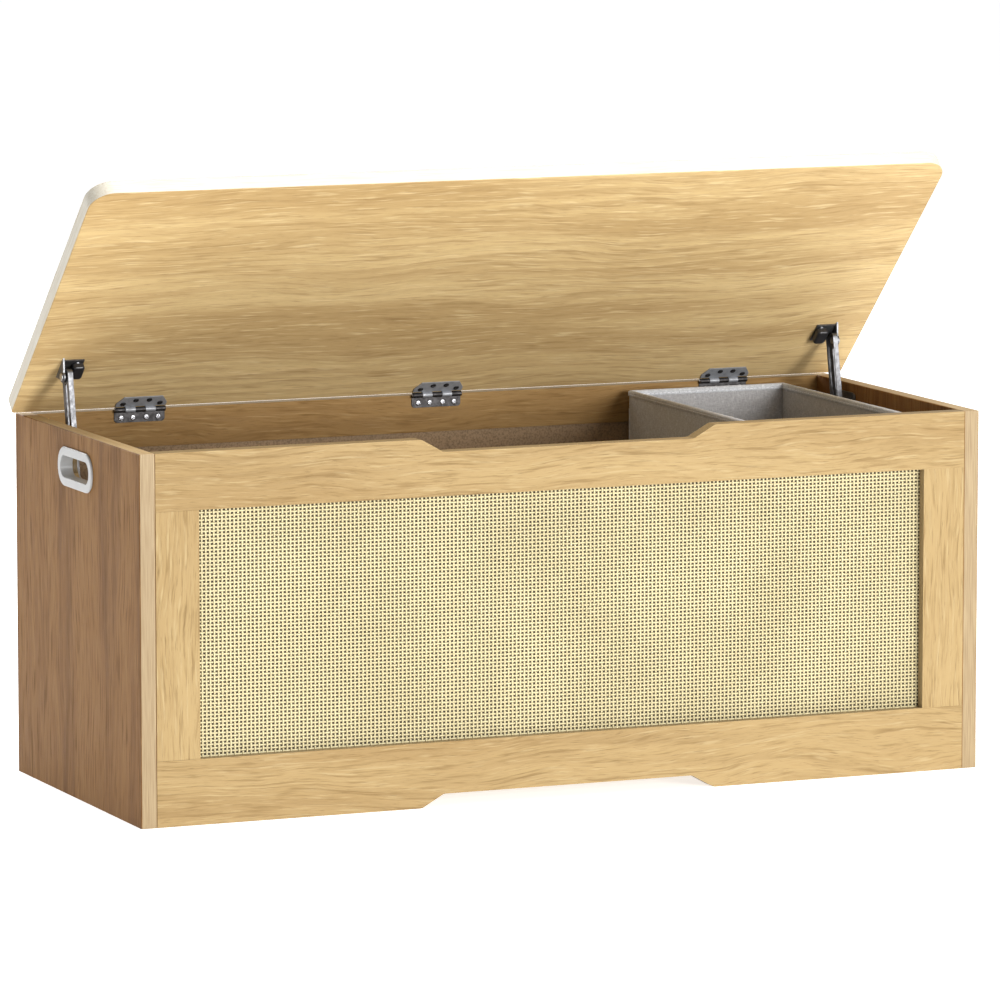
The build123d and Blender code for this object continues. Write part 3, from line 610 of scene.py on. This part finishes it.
def add_tube(bm: bmesh.types.BMesh, path: Sequence[Vector], radius: float, sides: int = 8) -> None:
    """Add a closed round tube along a path.

    Args:
        bm: The mesh being built.
        path: Its centre line.
        radius: Its radius.
        sides: Facets round it.
    """
    rings = []
    for i, point in enumerate(path):
        ahead = path[min(i + 1, len(path) - 1)] - path[max(i - 1, 0)]
        turn = ahead.to_track_quat("Z", "Y").to_matrix()
        ring = []
        for k in range(sides):
            a = math.tau * k / sides
            ring.append(bm.verts.new(point + turn @ Vector((math.cos(a), math.sin(a), 0.0)) * radius))
        rings.append(ring)
    for low, high in zip(rings, rings[1:]):
        for k in range(sides):
            bm.faces.new((low[k], low[(k + 1) % sides], high[(k + 1) % sides], high[k]))
    bm.faces.new(rings[0][::-1])
    bm.faces.new(rings[-1])


# ------------------------------------------------------------------ boards
@dataclass
class Board:
    """One carcass board: foiled faces, banded edges and softened arrises."""

    node: str
    grain: Grain
    body: str = "box"
    slot: str = "oak_level"
    start: float = 0.0
    arch_centre: float = 0.0
    figure: float = 1.0
    bevel: float = 0.9 * MM
    tone: Colour = (0.92, 0.92, 0.88)
    bands: float = 0.0
    contrast: float = 0.50

    def directions(self) -> tuple[Point, Point, Point]:
        """Return the directions along, across and square to the board's face."""
        return self.grain.value

    def toned(self, finish: OakFinish) -> OakFinish:
        """Shift a finish to this board's tone: painted shade on the end boards and the back top rail, painted
        light on the lid.

        Args:
            finish: The finish that all boards share.

        Returns:
            The board's own finish.
        """
        shades = ("light", "middle", "dark", "gleam", "pore")
        toned = {s: tuple(a * b for a, b in zip(getattr(finish, s), self.tone)) for s in shades}
        return replace(finish, bands=self.bands, contrast=self.contrast, **toned)

    def edge_band(self, name: str, run: Point) -> BandFinish:
        """Choose the band for the edges that run one way.

        Args:
            name: What the band is called on this board.
            run: The way its grain runs.

        Returns:
            The band's finish.
        """
        return BandFinish(f"{self.node}_{name}", run, self.start)

    def build(self) -> bpy.types.Object:
        """Make the board and dress it.

        Returns:
            The board's object.
        """
        along, across, square = self.directions()
        mesh = refined_mesh(self.node, self.bevel)
        face = self.toned(
            OakFinish(f"{self.node}_oak", along, across, square, self.start, self.figure, self.arch_centre)
        ).material()
        band = self.edge_band("band", along).material()
        side_band = self.edge_band("end_band", across).material()
        for finish in (face, band, side_band):
            mesh.materials.append(finish)
        out, run = Vector(square), Vector(along)
        for polygon in mesh.polygons:
            eased = polygon.material_index == 1
            if abs(polygon.normal.dot(out)) > 0.5:
                polygon.material_index = 0
            else:
                polygon.material_index = 2 if abs(polygon.normal.dot(run)) > 0.7 and not eased else 1
        made = add_piece(f"{self.node}_board", mesh, self.body, [self.node])
        smooth(made)
        return made


@dataclass
class LidBoard(Board):
    """The lid, whose grain follows its own tilted face, with a paler edge band."""

    def edge_band(self, name: str, run: Point) -> BandFinish:
        """Choose the lid's cream band.

        Args:
            name: What the band is called.
            run: The way its grain runs.

        Returns:
            The band's finish.
        """
        return BandFinish(f"{self.node}_{name}", run, self.start, (0.66, 0.625, 0.54), (0.57, 0.51, 0.40))

    def directions(self) -> tuple[Point, Point, Point]:
        """Return the directions of the tilted lid, read from its largest faces."""
        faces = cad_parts[self.node].data.polygons
        square = max(faces, key=lambda f: f.area).normal.copy()
        square = square if square.z > 0 else -square
        across = Vector((1.0, 0.0, 0.0)).cross(square)
        return (1.0, 0.0, 0.0), tuple(across), tuple(square)


@dataclass
class EndBoard(Board):
    """A side panel, whose top edge band is painted lighter than its upright edges' band: painted light from
    above.
    """

    def edge_band(self, name: str, run: Point) -> BandFinish:
        """Choose the upright edges' band or the top edge's band, whose lighter colours are painted light from
        above.

        Args:
            name: What the band is called.
            run: The way its grain runs.

        Returns:
            The band's finish.
        """
        if name == "end_band":
            # Painted light: these lighter band colours stand in for light falling on the top edge.
            return BandFinish(f"{self.node}_{name}", run, self.start, (0.56, 0.41, 0.22), (0.42, 0.29, 0.14))
        return super().edge_band(name, run)


# ------------------------------------------------------------------ cane
@dataclass
class CaneFront:
    """Square-woven cane sheet in the front frame, and the board behind it."""

    pitch_across: float = 4.65 * MM
    pitch_up: float = 4.1 * MM
    upright_width: float = 2.5 * MM
    level_width: float = 2.2 * MM
    strand_thick: float = 0.46 * MM
    swing: float = 0.30 * MM
    shake_spread: float = 0.06 * MM
    width_spread: float = 0.05
    seed: int = 11
    # The backing board is real; its near-black colour is painted shade for the holes between the strands.
    backing_painted_shade: Colour = (0.045, 0.030, 0.010)

    def strands(self, name: str, upright: bool) -> bpy.types.Object:
        """Weave the strands of one direction.

        Args:
            name: The piece's name.
            upright: Whether they run up the sheet.

        Returns:
            The strands as one piece.
        """
        low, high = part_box("cane_panel")
        middle_y = (low.y + high.y) / 2
        across = int((high.x - low.x) / self.pitch_across)
        up = int((high.z - low.z) / self.pitch_up)
        xs = low.x + (np.arange(across + 1) + 0.5) * ((high.x - low.x) / (across + 1))
        zs = low.z + (np.arange(up + 1) + 0.5) * ((high.z - low.z) / (up + 1))
        rng = np.random.default_rng(self.seed + upright)
        count, steps = (len(xs), len(zs)) if upright else (len(zs), len(xs))
        half = (self.upright_width if upright else self.level_width) / 2
        line = np.arange(count)[:, None]
        step = np.arange(steps)[None, :]
        over = np.where((line + step) % 2 == int(upright), -1.0, 1.0)
        depth = middle_y + over * self.swing
        shake = rng.normal(0.0, self.shake_spread, (count, steps))
        wide = half * (1.0 + rng.normal(0.0, self.width_spread, (count, steps)))
        thick = self.strand_thick / 2
        offsets = ((-1.0, 0.0), (0.0, -1.0), (1.0, 0.0), (0.0, 1.0))
        points = np.zeros((count, steps, 4, 3))
        for k, (side, face) in enumerate(offsets):
            spread = side * wide + shake
            if upright:
                points[:, :, k, 0] = xs[:, None] + spread
                points[:, :, k, 2] = zs[None, :]
            else:
                points[:, :, k, 0] = xs[None, :]
                points[:, :, k, 2] = zs[:, None] + spread
            points[:, :, k, 1] = depth + face * thick
        index = np.arange(count * steps * 4).reshape(count, steps, 4)
        quads = []
        for k in range(4):
            n = (k + 1) % 4
            corners = [index[:, :-1, k], index[:, :-1, n], index[:, 1:, n], index[:, 1:, k]]
            quads.append(np.stack(corners, axis=-1).reshape(-1, 4))
        caps = [index[:, 0, ::-1].reshape(-1, 4), index[:, -1, :].reshape(-1, 4)]
        faces = np.concatenate(quads + caps)
        if not upright:
            faces = faces[:, ::-1]
        mesh = bpy.data.meshes.new(name)
        mesh.from_pydata(points.reshape(-1, 3).tolist(), [], faces.tolist())
        mesh.polygons.foreach_set("use_smooth", [True] * len(mesh.polygons))
        mesh.update()
        return add_piece(name, mesh, "box", ["cane_panel"] if upright else [])

    def build(self) -> None:
        """Weave both directions and dress the backing board."""
        finish = CaneFinish().material()
        for name, upright in (("cane_upright_strands", True), ("cane_level_strands", False)):
            self.strands(name, upright).data.materials.append(finish)
        mesh = refined_mesh("cane_backing_board", 0.3 * MM)
        backing = HardboardFinish("cane_backing", self.backing_painted_shade).material()
        mesh.materials.append(backing)
        mesh.materials.append(backing)
        smooth(add_piece("cane_backing", mesh, "box", ["cane_backing_board"]))


# ------------------------------------------------------------------ fittings
@dataclass
class Fitting:
    """A small made part whose edges are eased and which has one finish."""

    node: str
    body: str
    slot: str
    finish: bpy.types.Material
    bevel: float = 0.25 * MM
    segments: int = 2

    def build(self) -> bpy.types.Object:
        """Make the fitting and dress it.

        Returns:
            The fitting's object.
        """
        mesh = refined_mesh(self.node, self.bevel, self.segments)
        mesh.materials.append(self.finish)
        mesh.materials.append(self.finish)
        made = add_piece(f"{self.node}_fitting", mesh, self.body, [self.node])
        smooth(made)
        return made


@dataclass
class Screws:
    """A group of cross-head screws, one on each solid of its CAD node."""

    node: str
    body: str
    outward: Vector
    finish: bpy.types.Material
    head_rise: float = 1.25 * MM
    cross_half: float = 0.42 * MM
    cross_deep: float = 0.75 * MM
    rings: int = 12
    facets: int = 48
    seed: int = 5

    def head_height(self, u: float, v: float, radius: float) -> float:
        """Give the head's height at a place on it.

        Args:
            u: Place along one arm of the cross.
            v: Place along the other.
            radius: The head's radius.

        Returns:
            Height above the head's seat.
        """
        far = math.hypot(u, v) / radius
        dome = self.head_rise * (0.35 + 0.65 * math.sqrt(max(0.0, 1.0 - far**2)))
        reach = radius * 0.62
        arm_u = max(0.0, 1 - abs(v) / self.cross_half) * max(0.0, 1 - (abs(u) / reach) ** 4)
        arm_v = max(0.0, 1 - abs(u) / self.cross_half) * max(0.0, 1 - (abs(v) / reach) ** 4)
        return dome - self.cross_deep * min(1.0, 1.6 * max(arm_u, arm_v))

    def add_head(self, bm: bmesh.types.BMesh, seat: Vector, radius: float, spin: float) -> None:
        """Add one screw head with a short shank under it.

        Args:
            bm: The mesh being built.
            seat: Centre of the head's underside.
            radius: The head's radius.
            spin: Turn of its cross.
        """
        turn = self.outward.to_track_quat("Z", "Y").to_matrix()
        rounds = []
        for i in range(1, self.rings + 1):
            r = radius * i / self.rings
            ring = []
            for k in range(self.facets):
                a = math.tau * k / self.facets
                u, v = r * math.cos(a - spin), r * math.sin(a - spin)
                spot = Vector((r * math.cos(a), r * math.sin(a), self.head_height(u, v, radius)))
                ring.append(bm.verts.new(seat + turn @ spot))
            rounds.append(ring)
        top = bm.verts.new(seat + turn @ Vector((0.0, 0.0, self.head_height(0.0, 0.0, radius))))
        for r, z in ((radius, 0.0), (radius * 0.5, 0.0), (radius * 0.5, -0.004)):
            ring = []
            for k in range(self.facets):
                a = math.tau * k / self.facets
                ring.append(bm.verts.new(seat + turn @ Vector((r * math.cos(a), r * math.sin(a), z))))
            rounds.append(ring)
        for k in range(self.facets):
            n = (k + 1) % self.facets
            bm.faces.new((top, rounds[0][k], rounds[0][n]))
            for low, high in zip(rounds, rounds[1:]):
                bm.faces.new((low[k], high[k], high[n], low[n]))
        bm.faces.new(rounds[-1][::-1])

    def seat_of(self, solid: np.ndarray) -> tuple[Vector, float]:
        """Find where a screw's head sits.

        Args:
            solid: Corners of the screw's CAD solid.

        Returns:
            Centre of the head's underside, and the head's radius.
        """
        out = np.array(self.outward)
        reach = solid @ out
        rim = solid[reach > reach.max() - RIM_DEPTH]
        centre = rim.mean(axis=0)
        radius = float(np.linalg.norm(rim - centre, axis=1).max())
        levels = np.unique(np.round(reach, 6))
        seat = levels[-2] if len(levels) > 1 else reach.max()
        return Vector(centre + out * (seat - reach.max())), radius

    def finished(self, bm: bmesh.types.BMesh) -> bpy.types.Object:
        """Turn the heads into the group's piece.

        Args:
            bm: The heads.

        Returns:
            The group's object.
        """
        bmesh.ops.recalc_face_normals(bm, faces=bm.faces)
        mesh = mesh_from(self.node, bm)
        mesh.materials.append(self.finish)
        made = add_piece(f"{self.node}_heads", mesh, self.body, [self.node])
        smooth(made, 50.0)
        return made

    def build(self) -> bpy.types.Object:
        """Make all screws of the group.

        Returns:
            The group's object.
        """
        rng = random.Random(self.seed)
        bm = bmesh.new()
        for solid in islands(self.node):
            seat, radius = self.seat_of(solid)
            self.add_head(bm, seat, radius, rng.uniform(0, math.pi))
        return self.finished(bm)


@dataclass
class Hardware:
    """Hinges, lid stays and hidden fixings."""

    hinges: tuple[str, ...] = ("left", "middle", "right")
    ends: tuple[str, ...] = ("left", "right")
    bright: MetalFinish = MetalFinish("bright_zinc", (0.50, 0.50, 0.52), 0.34)
    # Near-black finish: the real colour of the cam bolts and lid screws, painted shade on the hinges' back
    # leaves.
    grey: MetalFinish = MetalFinish("grey_zinc_and_painted_shade", (0.055, 0.052, 0.052), 0.50)
    nickel: MetalFinish = MetalFinish("nickel_plate", (0.19, 0.19, 0.197), 0.48, (900.0, 900.0, 40.0))
    blued: MetalFinish = MetalFinish("blued_zinc", (0.33, 0.34, 0.36), 0.50, metallic=0.45)
    die_cast: MetalFinish = MetalFinish("die_cast_zinc", (0.42, 0.43, 0.45), 0.5)
    black: MouldedFinish = MouldedFinish("black_moulding", (0.018, 0.018, 0.020), 0.34)

    def build(self) -> None:
        """Make every fitting and its screws."""
        bright, grey = self.bright.material(), self.grey.material()
        blued = self.blued.material()
        nickel, cast, black = self.nickel.material(), self.die_cast.material(), self.black.material()
        for name in self.hinges:
            Fitting(f"hinge_lid_leaf_{name}", "lid", "hinge_steel", blued, 0.15 * MM).build()
            # Painted shade: the back leaf is the same steel as the lid leaf but gets the near-black grey
            # finish so that it reads dark.
            Fitting(f"hinge_back_leaf_{name}", "box", "hinge_steel_dark", grey, 0.15 * MM).build()
            Fitting(f"hinge_pin_{name}", "box", "hinge_steel", bright, 0.2 * MM).build()
        for name in self.ends:
            Fitting(f"stay_channel_{name}", f"stay_{name}", "stay_steel", nickel, 0.3 * MM).build()
            Fitting(f"stay_bracket_{name}", "lid", "stay_steel", nickel, 0.3 * MM).build()
            Fitting(f"stay_cap_{name}", "lid", "black_plastic", black, 0.6 * MM, 3).build()
            Fitting(f"stay_rivet_{name}", "lid", "fixing_steel", bright, 0.5 * MM, 3).build()
            Fitting(f"stay_guide_plate_{name}", "box", "stay_steel", nickel, 0.4 * MM).build()
            Fitting(f"stay_guide_pin_{name}", "box", "fixing_steel", bright, 0.4 * MM, 3).build()
            Fitting(f"bottom_cleat_{name}", "box", "batten_wood", self.softwood(name), 1.0 * MM, 3).build()
        Fitting("cam_locks", "box", "fixing_zinc", cast, 0.3 * MM).build()
        Fitting("cam_bolts", "box", "fixing_steel", grey, 0.3 * MM).build()
        Fitting("wood_dowels", "box", "batten_wood", self.softwood("dowels"), 0.8 * MM).build()
        square = LidBoard("lid_panel", Grain.LEVEL).directions()[2]
        Screws("hinge_lid_screws", "lid", -Vector(square), grey).build()
        Screws("stay_lid_screws", "lid", -Vector(square), bright).build()
        Screws("hinge_back_screws", "box", Vector((0.0, -1.0, 0.0)), bright).build()
        for node in ("cleat_screws", "stay_guide_screws"):
            self.end_screws(node, bright)

    def softwood(self, name: str) -> bpy.types.Material:
        """Give the pine finish of a batten or of the dowels."""
        along, across, square = Grain.BATTEN.value
        painted_light_lid_tone, middle, dark = (0.50, 0.38, 0.22), (0.42, 0.30, 0.16), (0.30, 0.18, 0.08)
        return OakFinish(f"pine_{name}", along, across, square, 0.3, 0.6, 0.0, painted_light_lid_tone, middle, dark).material()

    def end_screws(self, node: str, finish: bpy.types.Material) -> None:
        """Make the screws that face the middle of the box from both end boards.

        Args:
            node: The CAD node that groups them.
            finish: Their finish.
        """
        bm = bmesh.new()
        for solid in islands(node):
            sign = 1.0 if solid[:, 0].mean() > 0 else -1.0
            head = Screws(node, "box", Vector((-sign, 0.0, 0.0)), finish)
            seat, radius = head.seat_of(solid)
            head.add_head(bm, seat, radius, 0.4 + seat.y)
        head.finished(bm)


@dataclass
class Handles:
    """White moulded grommets and the cover rings inside."""

    ends: tuple[str, ...] = ("left", "right")
    # Painted shade: the white plastic is set to a mid grey so that the grommets, which sit in shade on the
    # end boards, match their shaded look.
    finish: MouldedFinish = MouldedFinish("white_moulding", (0.46, 0.46, 0.455), 0.34)

    def build(self) -> None:
        """Make both handles."""
        white = self.finish.material()
        for name in self.ends:
            Fitting(f"handle_grommet_{name}", "box", "white_plastic", white, 0.5 * MM, 3).build()
            Fitting(f"handle_inner_ring_{name}", "box", "white_plastic", white, 0.5 * MM, 3).build()


# ------------------------------------------------------------------ bin
@dataclass
class FabricBin:
    """The loose bin: fabric-covered stiff walls, a bound rim, sewn corners and stitches."""

    colour: Colour = (0.57, 0.58, 0.60)
    lining: Colour = (0.44, 0.43, 0.43)
    puff: float = 0.7 * MM
    stitch_long: float = 3.4 * MM
    stitch_gap: float = 1.8 * MM
    stitch_radius: float = 0.28 * MM
    seam_radius: float = 0.9 * MM
    stitch_proud: float = 0.55 * MM
    hem_proud: float = 0.45 * MM
    hem_foot: float = 0.12
    hem_shoulder: float = 0.62
    cell: float = 9 * MM
    walls: tuple[str, ...] = (
        "bin_left_wall", "bin_right_wall", "bin_front_wall", "bin_back_wall", "bin_base",
    )

    def padded_wall(self, node: str, finishes: Sequence[bpy.types.Material]) -> None:
        """Make one covered wall: softly rounded edges and a slightly swollen face.

        Args:
            node: The wall's CAD node.
            finishes: Outer and lining fabric.
        """
        low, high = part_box(node)
        size = high - low
        thin = min(range(3), key=lambda i: size[i])
        flat = [i for i in range(3) if i != thin]
        counts = [max(6, int(size[i] / self.cell)) for i in flat]
        middle = (low + high) / 2
        bin_middle = (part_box("bin_base")[0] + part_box("bin_base")[1]) / 2
        bm = bmesh.new()
        sheets = []
        for face in (-1.0, 1.0):
            rows = []
            for i in range(counts[0] + 1):
                row = []
                for j in range(counts[1] + 1):
                    s, t = i / counts[0], j / counts[1]
                    edge = min(s, 1 - s, t, 1 - t)
                    rim = min(1.0, edge * min(counts))
                    wave = math.sin(s * 9.0 + face) * math.sin(t * 7.0 + 2.0 * face)
                    spot = [0.0, 0.0, 0.0]
                    spot[flat[0]] = low[flat[0]] + size[flat[0]] * s
                    spot[flat[1]] = low[flat[1]] + size[flat[1]] * t
                    inset = self.puff * (1.25 - 0.55 * rim * (0.75 + 0.25 * wave))
                    spot[thin] = middle[thin] + face * (size[thin] / 2 - inset * (1.0 - 0.85 * rim))
                    row.append(bm.verts.new(spot))
                rows.append(row)
            sheets.append(rows)
        for rows in sheets:
            for i in range(counts[0]):
                for j in range(counts[1]):
                    bm.faces.new((rows[i][j], rows[i + 1][j], rows[i + 1][j + 1], rows[i][j + 1]))
        a, b = sheets
        border = [(i, 0) for i in range(counts[0])] + [(counts[0], j) for j in range(counts[1])]
        border += [(i, counts[1]) for i in range(counts[0], 0, -1)]
        border += [(0, j) for j in range(counts[1], 0, -1)]
        for (i, j), (m, n) in zip(border, border[1:] + border[:1]):
            bm.faces.new((a[i][j], a[m][n], b[m][n], b[i][j]))
        bmesh.ops.recalc_face_normals(bm, faces=bm.faces)
        mesh = mesh_from(node, bm)
        for finish in finishes:
            mesh.materials.append(finish)
        for polygon in mesh.polygons:
            inward = polygon.normal.z
            if node != "bin_base":
                inward = polygon.normal.dot(bin_middle - polygon.center)
            polygon.material_index = 1 if inward > 0 else 0
        made = add_piece(f"{node}_cover", mesh, "bin", [node])
        smooth(made, 55.0)

    def rim_path(self, inset: float, height: float) -> list[Vector]:
        """Walk round the rim.

        Args:
            inset: Distance inside the bin's outline.
            height: Height of the path.

        Returns:
            The corners of the path, closed by the first again.
        """
        low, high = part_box("bin_rim_binding")
        x0, x1, y0, y1 = low.x + inset, high.x - inset, low.y + inset, high.y - inset
        return [Vector((x, y, height)) for x, y in ((x0, y0), (x1, y0), (x1, y1), (x0, y1), (x0, y0))]

    def binding(self, finish: bpy.types.Material) -> None:
        """Fold the binding over the rim as a rounded strip.

        Args:
            finish: Its fabric.
        """
        low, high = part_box("bin_rim_binding")
        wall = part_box("bin_left_wall")[1].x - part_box("bin_left_wall")[0].x
        proud = self.hem_proud
        hem = high.z - low.z
        foot, shoulder = hem * self.hem_foot, hem * self.hem_shoulder
        profile = [(-proud * 0.2, -0.6 * MM), (-proud, foot), (-proud, shoulder)]
        for k in range(7):
            a = math.pi * k / 6
            rise = shoulder + hem * 0.38 * math.sin(a)
            profile.append((wall / 2 - (wall / 2 + proud) * math.cos(a), rise))
        profile += [(wall + proud, foot), (wall + proud * 0.2, -0.6 * MM)]
        bm = bmesh.new()
        rings = []
        for corner in range(4):
            ring = []
            for inset, rise in profile:
                spot = self.rim_path(inset, low.z + rise)[corner]
                ring.append(bm.verts.new(spot))
            rings.append(ring)
        for r in range(4):
            here, ahead = rings[r], rings[(r + 1) % 4]
            for k in range(len(profile)):
                n = (k + 1) % len(profile)
                bm.faces.new((here[k], ahead[k], ahead[n], here[n]))
        bmesh.ops.subdivide_edges(
            bm, edges=[e for e in bm.edges if e.calc_length() > 0.05], cuts=24, use_grid_fill=True
        )
        rng = random.Random(3)
        for vert in bm.verts:
            vert.co.z += rng.uniform(-0.12, 0.12) * MM
        bmesh.ops.recalc_face_normals(bm, faces=bm.faces)
        mesh = mesh_from("bin_binding", bm)
        mesh.materials.append(finish)
        smooth(add_piece("bin_binding", mesh, "bin", ["bin_rim_binding"]), 60.0)

    def stitches(self, finish: bpy.types.Material) -> None:
        """Sew a line of stitches round the outside and inside of the binding.

        Args:
            finish: The thread's finish.
        """
        low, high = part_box("bin_rim_binding")
        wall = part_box("bin_left_wall")[1].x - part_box("bin_left_wall")[0].x
        height = low.z + (high.z - low.z) * 0.25
        bm = bmesh.new()
        for inset in (-self.stitch_proud, wall + self.stitch_proud):
            path = self.rim_path(inset, height)
            for start, end in zip(path, path[1:]):
                length = (end - start).length
                count = int(length / (self.stitch_long + self.stitch_gap))
                run = (end - start) / length
                for k in range(count):
                    middle = start + run * (k + 0.5) * length / count
                    half = run * self.stitch_long / 2
                    line = [middle - half, middle - half * 0.5, middle + half * 0.5, middle + half]
                    add_tube(bm, line, self.stitch_radius, 6)
        mesh = mesh_from("bin_stitches", bm)
        mesh.materials.append(finish)
        smooth(add_piece("bin_stitches", mesh, "bin"), 60.0)

    def corner_seams(self, finish: bpy.types.Material) -> None:
        """Run a piped seam up each corner.

        Args:
            finish: Its fabric.
        """
        base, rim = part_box("bin_base"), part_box("bin_rim_binding")
        bm = bmesh.new()
        for x in (base[0].x + self.seam_radius, base[1].x - self.seam_radius):
            for y in (base[0].y + self.seam_radius, base[1].y - self.seam_radius):
                steps = 20
                foot, rise = base[0].z + 1.5 * MM, rim[0].z - base[0].z
                path = [Vector((x, y, foot + rise * k / steps)) for k in range(steps)]
                add_tube(bm, path, self.seam_radius, 10)
        mesh = mesh_from("bin_seams", bm)
        mesh.materials.append(finish)
        smooth(add_piece("bin_corner_seams", mesh, "bin"), 60.0)

    def build(self) -> None:
        """Make the whole bin."""
        outer = FeltFinish("bin_felt", self.colour).material()
        lining = FeltFinish("bin_lining", self.lining).material()
        hem = FeltFinish("bin_hem", tuple(c * 1.1 for c in self.colour), 1700.0).material()
        thread = FeltFinish("bin_thread", tuple(c * 1.7 for c in self.colour), 3000.0).material()
        for node in self.walls:
            self.padded_wall(node, (outer, lining))
        self.binding(hem)
        self.stitches(thread)
        self.corner_seams(hem)


# ------------------------------------------------------------------ the box
@dataclass
class Carcass:
    """All boards of the box and its lid."""

    boards: list[Board] = field(default_factory=list)

    def plan(self) -> None:
        """List the boards with the grain each one was cut to."""
        # Painted shade: the end boards' tone darkens and browns their oak for the shade on the end boards,
        # which face away from the front light.
        painted_shade_side_tone = (0.73, 0.52, 0.34)
        shaded = (0.80, 0.68, 0.50)
        # Painted light: the lid's tone lightens its oak about one and a half times, for light that its
        # underside doesn't get from the lamps.
        painted_light_lid_tone = (1.50, 1.56, 1.60)
        self.boards = [
            EndBoard(
                "side_panel_left", Grain.END_BOARD, slot="oak_upright", start=0.4, arch_centre=0.05,
                figure=0.8, tone=painted_shade_side_tone, bands=0.8, contrast=0.85,
            ),
            EndBoard(
                "side_panel_right", Grain.END_BOARD, slot="oak_upright", start=1.9, arch_centre=-0.06,
                figure=0.8, tone=painted_shade_side_tone, bands=0.8, contrast=0.85,
            ),
            Board(
                "front_stile_left", Grain.STILE, slot="oak_upright", start=3.1, arch_centre=-0.30, figure=0.5,
            ),
            Board(
                "front_stile_right", Grain.STILE, slot="oak_upright", start=4.6, arch_centre=0.62, figure=0.6,
            ),
            Board("front_top_rail", Grain.LEVEL, start=5.2, arch_centre=0.31),
            Board("front_bottom_rail", Grain.LEVEL, start=6.7, arch_centre=0.09, figure=0.8),
            Board("back_top_rail", Grain.LEVEL, start=7.7, arch_centre=0.33, tone=shaded),
            Board("back_bottom_rail", Grain.LEVEL, start=8.4, arch_centre=0.0),
            Board("bottom_panel", Grain.FLOOR, slot="backing_board", start=9.3),
            LidBoard(
                "lid_panel", Grain.LEVEL, body="lid", start=10.6, arch_centre=-0.18, figure=1.1,
                bevel=1.4 * MM, tone=painted_light_lid_tone, bands=0.22,
            ),
        ]

    def back(self) -> None:
        """Dress the thin back panel."""
        mesh = refined_mesh("back_panel", 0.3 * MM)
        finish = HardboardFinish("back_hardboard", (0.30, 0.19, 0.095)).material()
        mesh.materials.append(finish)
        mesh.materials.append(finish)
        smooth(add_piece("back_sheet", mesh, "box", ["back_panel"]))

    def build(self) -> None:
        """Make every board."""
        self.plan()
        for board in self.boards:
            board.build()
        self.back()


# ------------------------------------------------------------------ studio
@dataclass
class Studio:
    """Pale floor, soft lights and the camera."""

    azimuth: float = -23.04
    elevation: float = 7.63
    distance: float = 7.8906
    aim: Point = (0.0024, 0.0, 0.3053)
    lens: float = 253.7
    floor_size: float = 40.0
    floor_glow: float = 0.70
    lights_aim: Point = (0.0, 0.0, 0.25)
    film: float = 36.0
    air: float = 0.34
    lights: tuple[tuple[str, Point, float, float], ...] = (
        ("key", (1.9, -6.2, 1.0), 2.4, 505.0),
        ("top", (0.8, -0.2, 4.2), 2.6, 130.0),
        ("rim", (-0.8, 3.6, 2.2), 2.2, 110.0),
    )

    def camera(self) -> None:
        """Place the camera at the front left, a little above the rim."""
        a, e = math.radians(self.azimuth), math.radians(self.elevation)
        back = Vector((math.sin(a) * math.cos(e), -math.cos(a) * math.cos(e), math.sin(e)))
        data = bpy.data.cameras.new("camera")
        data.lens = self.lens
        data.sensor_width = self.film
        data.clip_end = 100.0
        made = bpy.data.objects.new("camera", data)
        made.location = Vector(self.aim) + back * self.distance
        made.rotation_euler = (-back).to_track_quat("-Z", "Y").to_euler()
        bpy.context.scene.collection.objects.link(made)
        bpy.context.scene.camera = made

    def floor(self) -> None:
        """Lay the pale floor."""
        bm = bmesh.new()
        bmesh.ops.create_circle(bm, cap_ends=True, segments=96, radius=self.floor_size)
        mesh = mesh_from("studio_floor", bm)
        g = Graph("studio_floor")
        cloud = g.spread(g.noise(g.place(), 0.8, 2.0), 0.3, 0.7)
        tone = g.blend(cloud, (0.90, 0.90, 0.90), (0.88, 0.88, 0.88))
        mesh.materials.append(
            g.dress(
                Base_Color=tone, Roughness=0.85, Specular_IOR_Level=0.1,
                Emission_Color=(1.0, 1.0, 1.0), Emission_Strength=self.floor_glow,
            )
        )
        made = bpy.data.objects.new("studio_floor", mesh)
        bpy.context.scene.collection.objects.link(made)

    def light(self) -> None:
        """Hang the soft lights and light the air round them."""
        for name, spot, size, power in self.lights:
            data = bpy.data.lights.new(name, "AREA")
            data.shape = "DISK"
            data.size = size
            data.energy = power
            made = bpy.data.objects.new(name, data)
            made.location = spot
            made.visible_camera = False
            aim = Vector(self.lights_aim) - Vector(spot)
            made.rotation_euler = aim.to_track_quat("-Z", "Y").to_euler()
            bpy.context.scene.collection.objects.link(made)
        world = bpy.data.worlds.new("studio")
        world.use_nodes = True
        world.node_tree.nodes["Background"].inputs[0].default_value = (1.0, 1.0, 1.0, 1.0)
        world.node_tree.nodes["Background"].inputs[1].default_value = self.air
        bpy.context.scene.world = world
        bpy.context.scene.view_settings.view_transform = "Standard"

    def build(self) -> None:
        """Set up the whole studio."""
        self.camera()
        self.floor()
        self.light()


def main() -> None:
    """Build every part of the toy box and the studio round it."""
    logging.basicConfig(level=logging.INFO, format="%(name)s: %(message)s")
    Studio().build()
    Carcass().build()
    CaneFront().build()
    Hardware().build()
    Handles().build()
    FabricBin().build()


if __name__ == "__main__":
    main()
